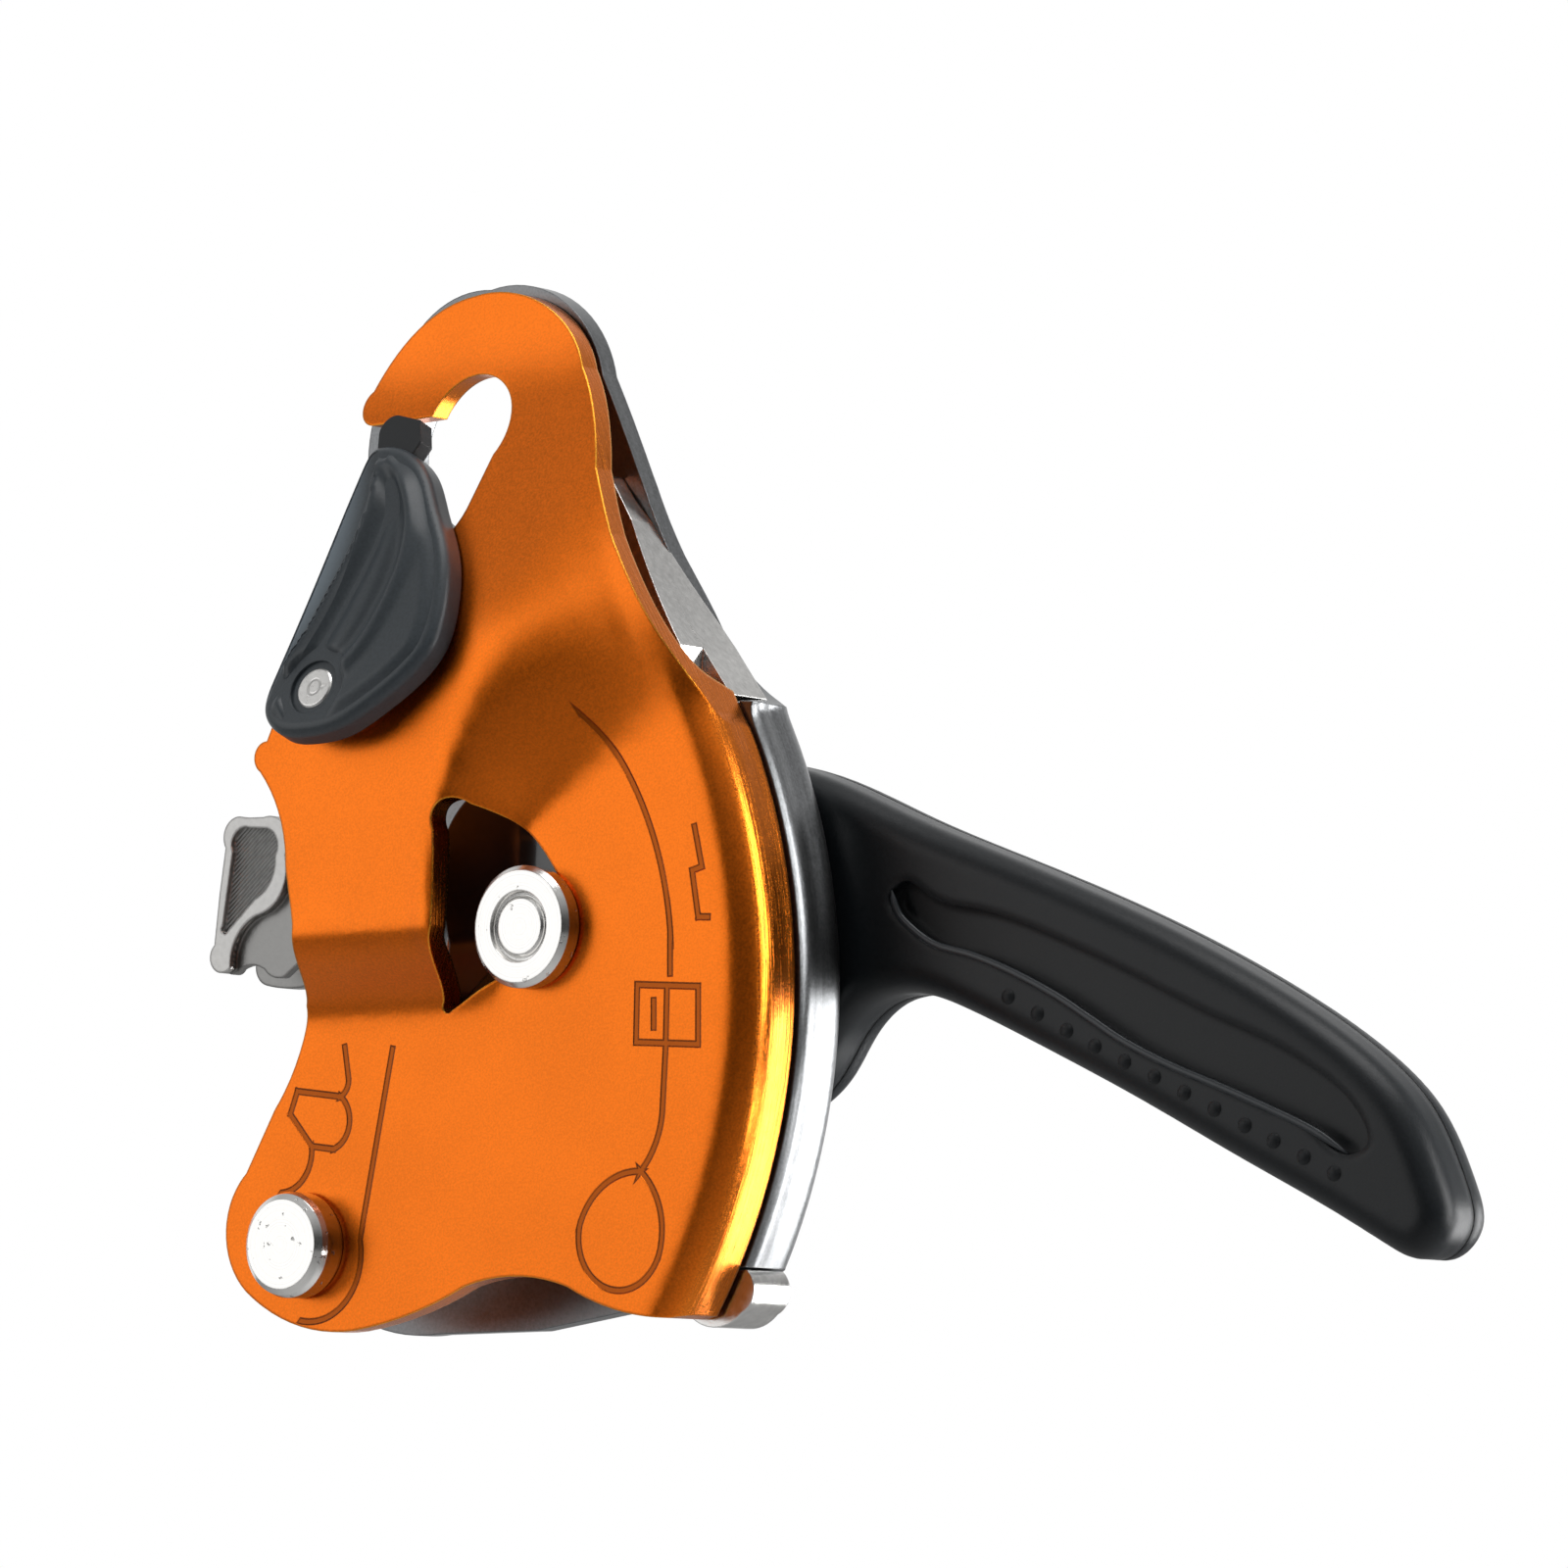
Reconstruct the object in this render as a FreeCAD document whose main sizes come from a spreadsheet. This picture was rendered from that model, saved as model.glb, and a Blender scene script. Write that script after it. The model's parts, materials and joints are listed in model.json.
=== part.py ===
import FreeCAD, Part
import Sketcher
import math
import os
from FreeCAD import Placement, Rotation, Vector

# A self-braking rope descender, drawn with its attachment eye at the top.
# The origin is the axis of the rear plate's eye, on that plate's inner face: the parting plane.
# +X is to the right seen from the swinging plate, +Y goes back to the lever, +Z is up.

doc = FreeCAD.newDocument("Descender")
sheet = doc.addObject("Spreadsheet::Sheet", "Dims")

# alias: (value in mm or degrees, what it is)
DIMENSIONS = {
    # side plates
    "plate_gauge": (3.0, "sheet gauge of both side plates"),
    "parting_gap": (0.45, "rear plate to front plate at the eye"),
    "eye_radius": (11.0, "round eye in the rear plate"),
    "hook_radius": (7.2, "hook eye in the front plate"),
    "hook_x": (4.2, "centre of the hook eye"),
    "hook_z": (2.5, "centre of the hook eye"),
    "crease_z": (12.0, "height where the plates start to spread"),
    "spread_rate": (0.357, "outward slope of the neck"),
    "front_depth": (11.0, "parting plane to the outer face of the front plate"),
    "bridge_depth": (18.2, "parting plane to the outer face of the bridge"),
    "rear_depth": (9.0, "parting plane to the outer face of the rear plate"),
    "bridge_foot_top": (-64.5, "top of the step below the bridge"),
    "bridge_foot_low": (-75.5, "bottom of the step below the bridge"),
    "step_x": (14.5, "point on the middle of the slanting step"),
    "step_z": (-47.5, "point on the middle of the slanting step"),
    "step_angle": (48.0, "slant of the step"),
    "step_half": (6.4, "half the width of the slanting step at its middle"),
    "step_fan": (0.4, "how fast the step widens upwards"),
    "bridge_side": (11.5, "right-hand limit of the bridge level"),
    "bridge_fall": (4.0, "half the width of the bridge's right-hand side"),
    "face_blend": (6.0, "softness where the neck runs into the low face"),
    "neck_blend": (2.4, "softness of the neck's other bends"),
    "rim_x": (-22.9, "centre of the rounded right-hand rim"),
    "rim_z": (-73.0, "centre of the rounded right-hand rim"),
    "rim_radius": (78.2, "outside radius of the front plate's rim"),
    "band_step": (0.7, "how far the rear plate's rim stands outside the front one"),
    "front_roll": (4.6, "outside bend radius of the front rim"),
    "rear_roll": (4.0, "outside bend radius of the rear rim"),
    "front_rim_y": (-2.2, "back edge of the front plate's rim"),
    "rear_rim_y": (-1.7, "front edge of the rear plate's rim"),
    "rim_start": (-39.0, "height where the rims are fully turned"),
    "rim_fade": (14.0, "length over which the rims turn in"),
    # axes
    "axle_x": (19.3, "main axle"),
    "axle_z": (-65.0, "main axle"),
    "pivot_x": (-19.8, "plate pivot and rope bollard"),
    "pivot_z": (-105.1, "plate pivot and rope bollard"),
    "gate_x": (-8.0, "gate pin"),
    "gate_z": (-34.2, "gate pin"),
    "gate_sink": (0.5, "neck's slope to the plane the gate is drawn on"),
    # fits
    "running_fit": (0.05, "radial play of a pin in its bore"),
    "face_gap": (0.2, "axial play between moving faces"),
    "open_gap": (0.4, "clearance between parts that pass each other"),
    # main axle
    "axle_radius": (5.0, "axle shank"),
    "axle_head_radius": (8.0, "axle head"),
    "axle_head_height": (3.0, "axle head"),
    "axle_neck_radius": (6.4, "collar under the head"),
    "axle_end": (0.8, "axle shank past the lever"),
    "axle_dish_radius": (4.1, "riveted ring in the head"),
    "cap_radius": (7.5, "rear cap"),
    "cap_height": (2.4, "rear cap"),
    # plate pivot
    "pivot_radius": (4.0, "pivot shank"),
    "pivot_head_radius": (7.0, "pivot head"),
    "pivot_head_height": (4.2, "pivot head"),
    "bollard_radius": (8.0, "rope bollard"),
    "bollard_waist": (6.8, "rope bollard at its waist"),
    "washer_radius": (6.6, "washer behind the pivot head"),
    "washer_height": (0.6, "washer behind the pivot head"),
    # cam
    "cam_radius": (19.0, "round part of the cam"),
    "cam_nose": (30.0, "centre of the cam's nose from the axle"),
    "nose_radius": (5.0, "nose of the cam"),
    "cam_nose_angle": (-128.0, "where the nose points"),
    "rope_radius": (4.4, "rope groove in the cam"),
    "rope_bite": (2.6, "depth of the rope groove"),
    "cover_radius": (17.2, "cam cover"),
    "cover_height": (1.9, "cam cover"),
    "cover_gap": (0.5, "cam cover to the front plate"),
    "cover_lobe": (11.0, "centre of the cover's lobe from the axle"),
    "cover_lobe_angle": (131.0, "where the cover's lobe points"),
    "dog_radius": (2.8, "drive dog"),
    "dog_arm": (11.5, "drive dog from the axle"),
    "dog_angle": (155.0, "where the drive dog sits"),
    "cam_back_swing": (15.0, "cam travel towards locking"),
    "cam_release": (20.0, "cam travel towards release"),
    "lever_fold": (45.0, "free travel of the lever on the cam"),
    # lever
    "lever_gap": (0.5, "rear plate to the lever"),
    "lever_depth": (12.0, "depth of the lever"),
    "lever_shell": (4.8, "depth of the lever's back shell"),
    "hub_disc_radius": (16.0, "steel disc in the lever"),
    "hub_disc_height": (3.0, "steel disc in the lever"),
    "lever_round": (3.5, "edge rounding of the lever"),
    "grip_recess": (2.2, "depth of the grip recess"),
    "screw_radius": (2.2, "lever screws"),
    # rope shoe
    "shoe_gauge": (2.4, "steel of the rope shoe"),
    "shoe_gap": (0.6, "rope shoe to the front plate"),
    "liner_gap": (0.5, "rope shoe to the rims"),
    "apron_front": (-6.9, "front of the apron beside the shoe's crest"),
    "rivet_radius": (1.0, "shoe rivets"),
    # gate
    "gate_face": (-4.4, "outer face of the gate from the pin's base"),
    "gate_base": (-0.75, "inner face of the gate from the pin's base"),
    "tongue_face": (-3.2, "outer face of the gate's tongue from the pin's base"),
    "gate_skirt": (3.4, "depth of the gate's side skirt behind the pin's base"),
    "gate_pin_radius": (2.6, "gate pin"),
    "gate_pin_head": (3.1, "head of the gate pin"),
    "gate_rivet_base": (4.6, "spot face behind the front plate for the gate pin, from the pin's base"),
    # spur
    "spur_gap": (0.8, "spur to the front plate"),
    "spur_ear": (2.6, "thickness of an ear"),
    "spur_step": (1.4, "set-back of the flank below the front ear"),
    "spur_recess": (0.8, "depth of the front ear's recess"),
    "spur_screw_radius": (2.0, "spur screws"),
}

for row, (alias, (amount, note)) in enumerate(DIMENSIONS.items(), start=1):
    sheet.set("A%d" % row, alias)
    sheet.set("B%d" % row, str(amount))
    sheet.set("C%d" % row, note)
    sheet.setAlias("B%d" % row, alias)
doc.recompute()


class Size:
    """A number that remembers the spreadsheet expression it came from."""

    def __init__(self, value, text):
        self.value = float(value)
        self.text = text

    @staticmethod
    def of(other):
        if isinstance(other, Size):
            return other
        return Size(other, "%.6g" % other)

    def _join(self, other, sign, value):
        return Size(value, "(%s %s %s)" % (self.text, sign, Size.of(other).text))

    def __add__(self, other):
        return self._join(other, "+", self.value + Size.of(other).value)

    def __sub__(self, other):
        return self._join(other, "-", self.value - Size.of(other).value)

    def __mul__(self, other):
        return self._join(other, "*", self.value * Size.of(other).value)

    def __truediv__(self, other):
        return self._join(other, "/", self.value / Size.of(other).value)

    def __neg__(self):
        return Size(-self.value, "(0 - %s)" % self.text)

    def __float__(self):
        return self.value


def cell(alias):
    """The sheet's value together with its expression."""
    return Size(sheet.get(alias), "Dims." + alias)


def num(alias):
    return float(sheet.get(alias))


FAR = 30.0

# levels along the depth that follow from the two plates
GAP = cell("face_gap")
GAUGE = cell("plate_gauge")
FRONT_FACE = -cell("front_depth")
FRONT_INNER = FRONT_FACE + GAUGE
REAR_FACE = cell("rear_depth")
REAR_INNER = REAR_FACE - GAUGE
COVER_FRONT = FRONT_INNER + cell("cover_gap")
CAM_FRONT = COVER_FRONT + cell("cover_height")
CAM_BACK = REAR_INNER - cell("open_gap")
SHOE_FRONT = FRONT_INNER + cell("shoe_gap")
SPUR_FRONT = FRONT_INNER + cell("spur_gap")
LEVER_FRONT = REAR_FACE + cell("lever_gap")
LEVER_BACK = LEVER_FRONT + cell("lever_depth")
LEVER_SEAM = LEVER_BACK - cell("lever_shell")
AXLE_BACK = LEVER_BACK + cell("axle_end")
GATE_Y = cell("gate_sink") - GAUGE - cell("parting_gap") - cell("spread_rate") * (
    cell("crease_z") - cell("gate_z"))


def place_object(item, x=0.0, y=0.0, z=0.0):
    """Puts an object at x, y, z and binds whichever of them come from the sheet."""
    sizes = [Size.of(amount) for amount in (x, y, z)]
    item.Placement = Placement(Vector(*[size.value for size in sizes]), Rotation())
    for letter, size in zip("xyz", sizes):
        if "Dims." in size.text:
            item.setExpression("Placement.Base." + letter, size.text)


def new_body(label, x=0.0, z=0.0):
    body = doc.addObject("PartDesign::Body", label)
    body.Label = label
    place_object(body, x, 0.0, z)
    return body


def new_sketch(body, name, role, offset=0.0):
    sketch = body.newObject("Sketcher::SketchObject", body.Label + "_" + name)
    plane = next(item for item in body.Origin.OriginFeatures if item.Role == role)
    sketch.AttachmentSupport = [(plane, "")]
    sketch.MapMode = "FlatFace"
    offset = Size.of(offset)
    sketch.AttachmentOffset = Placement(Vector(0, 0, offset.value), Rotation())
    if "Dims." in offset.text:
        sketch.setExpression("AttachmentOffset.Base.z", offset.text)
    return sketch


def path_curves(path, put):
    """Closed path: a point ends a straight run, a pair of points is an arc by its middle."""
    curves = []
    last = put(*path[0])
    for step in list(path[1:]) + [path[0]]:
        if isinstance(step[0], tuple):
            middle, end = put(*step[0]), put(*step[1])
            curves.append(Part.Arc(last, middle, end))
        else:
            end = put(*step)
            if (end - last).Length > 1e-6:
                curves.append(Part.LineSegment(last, end))
        last = end
    return curves


def draw_path(sketch, path):
    sketch.addGeometry(path_curves(path, lambda x, z: Vector(x, z, 0)), False)


def draw_spline(sketch, points):
    """Smooth closed curve through the points."""
    curve = Part.BSplineCurve()
    curve.interpolate(Points=[Vector(x, z, 0) for x, z in points], PeriodicFlag=True)
    sketch.addGeometry(curve, False)


def draw_circle(sketch, x, z, radius):
    """Circle whose centre and radius follow the sheet."""
    sizes = [Size.of(amount) for amount in (x, z, radius)]
    centre = Vector(sizes[0].value, sizes[1].value, 0)
    item = sketch.addGeometry(Part.Circle(centre, Vector(0, 0, 1), sizes[2].value), False)
    bind(sketch, Sketcher.Constraint("Radius", item, sizes[2].value), sizes[2])
    if sizes[0].value or sizes[1].value:
        bind(sketch, Sketcher.Constraint("DistanceX", -1, 1, item, 3, sizes[0].value), sizes[0])
        bind(sketch, Sketcher.Constraint("DistanceY", -1, 1, item, 3, sizes[1].value), sizes[1])
    else:
        sketch.addConstraint(Sketcher.Constraint("Coincident", item, 3, -1, 1))


def bind(sketch, constraint, size):
    number = sketch.addConstraint(constraint)
    if "Dims." in size.text:
        sketch.setExpression("Constraints[%d]" % number, size.text)


def draw_profile(sketch, corners):
    """Closed polygon of (radius, y) corners, each coordinate held to the sheet."""
    corners = [(Size.of(u), Size.of(v)) for u, v in corners]
    count = len(corners)
    for index in range(count):
        start, end = corners[index], corners[(index + 1) % count]
        first = Vector(start[0].value, start[1].value, 0)
        second = Vector(end[0].value, end[1].value, 0)
        sketch.addGeometry(Part.LineSegment(first, second), False)
    for index in range(count):
        sketch.addConstraint(Sketcher.Constraint("Coincident", index, 2, (index + 1) % count, 1))
    for index, (u, v) in enumerate(corners):
        if u.value == 0:
            sketch.addConstraint(Sketcher.Constraint("PointOnObject", index, 1, -2))
        else:
            bind(sketch, Sketcher.Constraint("DistanceX", -1, 1, index, 1, u.value), u)
        if v.value == 0:
            sketch.addConstraint(Sketcher.Constraint("PointOnObject", index, 1, -1))
        else:
            bind(sketch, Sketcher.Constraint("DistanceY", -1, 1, index, 1, v.value), v)


def set_length(feature, size):
    feature.Length = size.value
    if "Dims." in size.text:
        feature.setExpression("Length", size.text)


def pad_between(body, name, front, back, draw):
    """Pad from y = front to y = back; draw(sketch) fills a sketch that faces the front."""
    front, back = Size.of(front), Size.of(back)
    sketch = new_sketch(body, name + "_sketch", "XZ_Plane", -back)
    draw(sketch)
    pad = body.newObject("PartDesign::Pad", body.Label + "_" + name)
    pad.Profile = sketch
    set_length(pad, back - front)
    doc.recompute()
    return pad


def pocket_between(body, name, front, back, draw):
    """Pocket from y = front to y = back, checked by the volume it has taken away."""
    front, back = Size.of(front), Size.of(back)
    before = body.Tip.Shape.copy()
    sketch = new_sketch(body, name + "_sketch", "XZ_Plane", -front)
    draw(sketch)
    pocket = body.newObject("PartDesign::Pocket", body.Label + "_" + name)
    pocket.Profile = sketch
    set_length(pocket, back - front)
    doc.recompute()
    cutter = pocket.AddSubShape.copy()
    cutter.Placement = pocket.Placement.multiply(cutter.Placement)
    removed = before.common(cutter).Volume
    assert removed > 1e-3, body.Label + " " + name + " cut nothing"
    return pocket


def turned_part(label, corners, x, z):
    """A part turned about the Y direction from its half section."""
    body = new_body(label, x, z)
    sketch = new_sketch(body, "section", "XY_Plane")
    draw_profile(sketch, corners)
    turn = body.newObject("PartDesign::Revolution", label + "_turn")
    turn.Profile = sketch
    turn.ReferenceAxis = (sketch, ["V_Axis"])
    turn.Angle = 360
    doc.recompute()
    return body


def round_edges(body, name, pick, radius):
    """Fillets the edges of the body that pick(edge) accepts."""
    size = Size.of(radius)
    base = body.Tip
    names = ["Edge%d" % n for n, edge in enumerate(base.Shape.Edges, start=1) if pick(edge)]
    fillet = body.newObject("PartDesign::Fillet", body.Label + "_" + name)
    fillet.Base = (base, names)
    fillet.Radius = size.value
    if "Dims." in size.text:
        fillet.setExpression("Radius", size.text)
    doc.recompute()
    return fillet


def edges_at(y):
    """Picks edges that lie wholly in the plane at y."""
    level = float(Size.of(y))

    def pick(edge):
        return abs(edge.BoundBox.YMin - level) < 1e-4 and abs(edge.BoundBox.YMax - level) < 1e-4

    return pick


def circle_drawer(x, z, radius):
    return lambda sketch: draw_circle(sketch, x, z, radius)


def path_drawer(path):
    return lambda sketch: draw_path(sketch, path)


def spline_drawer(points):
    return lambda sketch: draw_spline(sketch, points)


def ring_drawer(x, z, outer, inner):
    def draw(sketch):
        draw_circle(sketch, x, z, outer)
        draw_circle(sketch, x, z, inner)

    return draw


def prism(path, front, back):
    wire = Part.Wire([curve.toShape() for curve in path_curves(path, lambda x, z: Vector(x, front, z))])
    return Part.Face(wire).extrude(Vector(0, back - front, 0))


def rod(x, z, radius, front, back):
    return Part.makeCylinder(radius, back - front, Vector(x, front, z), Vector(0, 1, 0))


# ---------------------------------------------------------------- formed side plates

def smooth(share):
    share = min(max(share, 0.0), 1.0)
    return share * share * (3.0 - 2.0 * share)


def soft_least(first, second, softness):
    """The lesser of two lengths, with the corner between them rounded over the softness."""
    overlap = max(softness - abs(first - second), 0.0)
    return min(first, second) - overlap * overlap / (4.0 * softness)


def neck_depth(z, closed, crease, limit, blend):
    """Outer face's distance from the parting plane along the neck."""
    sloped = closed + num("spread_rate") * (crease - z)
    risen = -soft_least(-sloped, -closed, num("neck_blend"))
    return soft_least(risen, limit, blend)


def front_depth_at(x, z):
    """Front plate: the high bridge at the left drops to the low face across a slanting step."""
    closed = num("plate_gauge") + num("parting_gap")
    high = neck_depth(z, closed, num("crease_z"), num("bridge_depth"), num("neck_blend"))
    low = neck_depth(z, closed, num("crease_z"), num("front_depth"), num("face_blend"))
    foot = (num("bridge_foot_top") - z) / (num("bridge_foot_top") - num("bridge_foot_low"))
    high -= (high - low) * smooth(foot)
    slant = math.radians(num("step_angle"))
    right, up = x - num("step_x"), z - num("step_z")
    across = right * math.sin(slant) - up * math.cos(slant)
    along = right * math.cos(slant) + up * math.sin(slant)
    half = num("step_half") + num("step_fan") * max(along, 0.0)
    share = soft_least((x - num("bridge_side")) / num("bridge_fall"), across / half, 1.2)
    return low + (high - low) * (1.0 - smooth((share + 1.0) / 2.0))


def rear_depth_at(x, z):
    return neck_depth(z, num("plate_gauge"), REAR_CREASE, num("rear_depth"), num("neck_blend"))


REAR_CREASE = -10.0
SHEET_LEFT = -48.0
SHEET_TOP = 26.0
SHEET_LOW = -122.0
RIM_CORNER = -38.0
RIM_LEAN = 0.45
WALL_LENGTH = 9.5


def rim_edge(z, radius):
    """Outside of the rim at height z; above its corner the rim runs on as a straight line."""
    depth = min(z, RIM_CORNER) - num("rim_z")
    edge = num("rim_x") + math.sqrt(radius * radius - depth * depth)
    return edge - RIM_LEAN * min(max(z - RIM_CORNER, 0.0), 28.0)


def sheet_section(z, depth_at, radius, roll, start, fade):
    """Outer and inner points of one level section: the face, the rolled bend and the rim wall."""
    gauge = num("plate_gauge")
    bend_x = rim_edge(z, radius) - roll
    turn = max(math.pi / 2 * smooth((start + fade - z) / fade), 0.02)
    outer, inner = [], []
    face_count, bend_count = 31, 5
    for index in range(face_count):
        x = SHEET_LEFT + (bend_x - SHEET_LEFT) * index / (face_count - 1)
        depth = depth_at(x, z)
        lean = (depth_at(x + 0.1, z) - depth) / 0.1
        rise = (depth_at(x, z + 0.1) - depth) / 0.1
        thick = gauge * min(math.sqrt(1 + lean * lean + rise * rise), 1.3)
        outer.append((x, depth))
        inner.append((x, depth - thick))
    depth = outer[-1][1]
    reach = roll * math.pi / 2 / turn
    for index in range(1, bend_count):
        angle = turn * index / (bend_count - 1)
        point = (bend_x + reach * math.sin(angle), depth - reach * (1 - math.cos(angle)))
        outer.append(point)
        inner.append((point[0] - gauge * math.sin(angle), point[1] - gauge * math.cos(angle)))
    for share in (0.33, 0.67, 1.0):
        run = WALL_LENGTH * share
        step = (run * math.cos(turn), -run * math.sin(turn))
        outer.append((point[0] + step[0], point[1] + step[1]))
        inner.append((outer[-1][0] - gauge * math.sin(turn), outer[-1][1] - gauge * math.cos(turn)))
    return outer, inner


def formed_sheet(side, depth_at, radius, roll, start, fade):
    """Solid sheet between two smooth surfaces; side is -1 for the front plate and 1 for the rear."""
    rows = 53
    outer_grid, inner_grid = [], []
    for index in range(rows):
        z = SHEET_TOP + (SHEET_LOW - SHEET_TOP) * index / (rows - 1)
        outer, inner = sheet_section(z, depth_at, radius, roll, start, fade)
        outer_grid.append([Vector(x, side * depth, z) for x, depth in outer])
        inner_grid.append([Vector(x, side * depth, z) for x, depth in inner])
    surfaces = []
    for grid in (outer_grid, inner_grid):
        surface = Part.BSplineSurface()
        surface.interpolate(grid)
        surfaces.append(surface)
    faces = [surface.toShape() for surface in surfaces]
    for first, second in zip(border_curves(surfaces[0]), border_curves(surfaces[1])):
        faces.append(Part.makeRuledSurface(first, second))
    shell = Part.Shell(Part.makeShell(faces).Faces)
    shell.sewShape()
    solid = Part.Solid(Part.Shell(shell.Faces))
    if solid.Volume < 0:
        solid.reverse()
    return solid


def border_curves(surface):
    u_first, u_last, v_first, v_last = surface.bounds()
    return [surface.uIso(u_first).toShape(), surface.uIso(u_last).toShape(),
            surface.vIso(v_first).toShape(), surface.vIso(v_last).toShape()]


def single_solid(shape, label):
    solids = sorted(shape.Solids, key=lambda solid: solid.Volume)
    assert solids, label + " has no solid"
    return solids[-1]


def feature_from(label, shape):
    item = doc.addObject("Part::Feature", label)
    item.Label = label
    item.Shape = shape
    place_object(item)
    return item


# lower edge that both plates share, from the right-hand rim round the pivot lobe
RIGHT_LIMIT = 75.0
LOBE = [((-33.9, -104.0), (-29.4, -111.6)), ((-21.2, -115.6), (-11.3, -116.5))]
FRONT_OUTLINE = [
    (9.9, -1.9), (7.9, -8.2), ((5.6, -12.4), (1.5, -15.2)), (-12.0, -24.4), ((-15.8, -27.6), (-17.6, -32.2)),
    (-20.8, -38.6), ((-23.0, -40.6), (-22.0, -42.6)), ((-18.6, -48.4), (-17.4, -55.4)), (-16.1, -63.2),
    ((-17.2, -69.2), (-19.3, -73.4)), ((-21.6, -80.8), (-25.4, -86.9)), (-30.4, -95.2)] + LOBE + [
    ((-0.9, -114.4), (7.7, -111.2)), ((16.4, -110.1), (25.1, -111.7)), ((32.6, -114.7), (40.8, -116.0)),
    (47.5, -114.6), (RIGHT_LIMIT, -114.6), (RIGHT_LIMIT, -49.0), (51.0, -44.6), (47.0, -38.4), (44.6, -33.8),
    ((39.6, -25.2), (33.2, -14.7)), (28.4, -5.4), ((25.9, 2.0), (22.0, 9.1)), ((14.1, 18.4), (2.3, 20.5)),
    ((-8.4, 16.2), (-14.1, 9.1)), ((-15.2, 5.8), (-12.6, 4.2)), (-2.7, 4.5), ((4.2, 9.7), (9.9, -1.9))]
WINDOW = [(7.8, -64.5), (8.0, -52.0), ((9.4, -48.2), (12.6, -48.8)), ((19.4, -53.4), (24.2, -60.1)),
          ((25.8, -67.4), (16.9, -71.5)), (13.6, -71.3), (5.4, -75.2), ((4.2, -75.2), (4.3, -74.0))]
REAR_OUTLINE = [
    (-12.0, 15.6), ((-17.6, 8.0), (-19.0, -2.0)), (-19.4, -20.0), ((-21.0, -36.0), (-24.0, -46.0)),
    (-24.0, -66.0), ((-23.4, -80.0), (-25.4, -86.9)), (-30.4, -95.2)] + LOBE + [
    (6.0, -116.4), (30.0, -113.0), (46.0, -109.4), (RIGHT_LIMIT, -109.4), (RIGHT_LIMIT, -39.0), (46.2, -36.4),
    ((39.6, -31.8), (35.4, -25.3)), (31.5, -15.7), (28.4, -6.5), ((25.2, 1.0), (21.6, 8.6)),
    ((15.2, 18.9), (2.4, 21.8)), ((-6.2, 20.4), (-12.0, 15.6))]


def gate_placement():
    """The gate turns square to the sloping neck, so its axis leans with the neck."""
    lean = -math.degrees(math.atan(num("spread_rate")))
    return Placement(Vector(num("gate_x"), float(GATE_Y), num("gate_z")), Rotation(Vector(1, 0, 0), lean))


def rim_side_box(front):
    """Block that trims a rim's wall, with its front face at the given depth."""
    left, low, top = 20.0, -125.0, -10.0
    return Part.makeBox(RIGHT_LIMIT - left, FAR, top - low, Vector(left, front, low))


def make_front_plate():
    """Swinging plate: hook eye, neck, raised bridge, window for the axle head and turned rim."""
    sheet_solid = formed_sheet(-1, front_depth_at, num("rim_radius"), num("front_roll"),
                               num("rim_start"), num("rim_fade"))
    solid = sheet_solid.common(prism(FRONT_OUTLINE, -FAR, FAR))
    rim_y = num("front_rim_y")
    solid = solid.cut(rim_side_box(rim_y))
    solid = solid.cut(prism(WINDOW, -FAR, FAR))
    play = num("running_fit")
    solid = solid.cut(rod(num("pivot_x"), num("pivot_z"), num("pivot_radius") + play, -FAR, FAR))
    rivet_base = num("gate_rivet_base")
    for radius, front in ((num("gate_pin_radius"), rivet_base - FAR / 4), (num("gate_pin_head") + 0.6, rivet_base)):
        gate_hole = rod(0, 0, radius, front, rivet_base + FAR / 4)
        gate_hole.Placement = gate_placement()
        solid = solid.cut(gate_hole)
    return feature_from("front_plate", single_solid(solid, "front_plate"))


def make_rear_plate():
    """Fixed plate: round eye, straight neck and the rim band that meets the front plate's rim."""
    sheet_solid = formed_sheet(1, rear_depth_at, num("rim_radius") + num("band_step"), num("rear_roll"),
                               RIM_CORNER, 8.0)
    solid = sheet_solid.common(prism(REAR_OUTLINE, -FAR, FAR))
    rim_y = num("rear_rim_y")
    solid = solid.cut(rim_side_box(rim_y - FAR))
    for x, z, radius in (
            (0.0, 0.0, num("eye_radius")),
            (num("axle_x"), num("axle_z"), num("axle_radius")),
            (num("pivot_x"), num("pivot_z"), num("pivot_radius"))):
        solid = solid.cut(rod(x, z, radius, -FAR, FAR))
    for x, z in rivet_places():
        solid = solid.cut(rod(x, z, num("rivet_radius"), 0.0, FAR))
    slot = arc_slot(num("dog_arm"), num("dog_radius") + num("open_gap"),
                    num("dog_angle") - num("cam_back_swing") - 2, num("dog_angle") + num("cam_release") + 2)
    solid = solid.cut(slot)
    return feature_from("rear_plate", single_solid(solid, "rear_plate"))


def arc_path(radius, half_width, first, last):
    """Outline of a slot bent round the origin, from angle first to angle last in degrees."""

    def at(reach, angle):
        turn = math.radians(angle)
        return (reach * math.cos(turn), reach * math.sin(turn))

    middle = (first + last) / 2
    outer, inner = radius + half_width, radius - half_width
    over = math.degrees(half_width / radius)
    return [at(outer, first), (at(outer, middle), at(outer, last)), (at(radius, last + over), at(inner, last)),
            (at(inner, middle), at(inner, first)), (at(radius, first - over), at(outer, first))]


def arc_slot(radius, half_width, first, last):
    shape = prism(arc_path(radius, half_width, first, last), -FAR, FAR)
    shape.translate(Vector(num("axle_x"), 0, num("axle_z")))
    return shape



# ---------------------------------------------------------------- pins and turned parts

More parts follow.
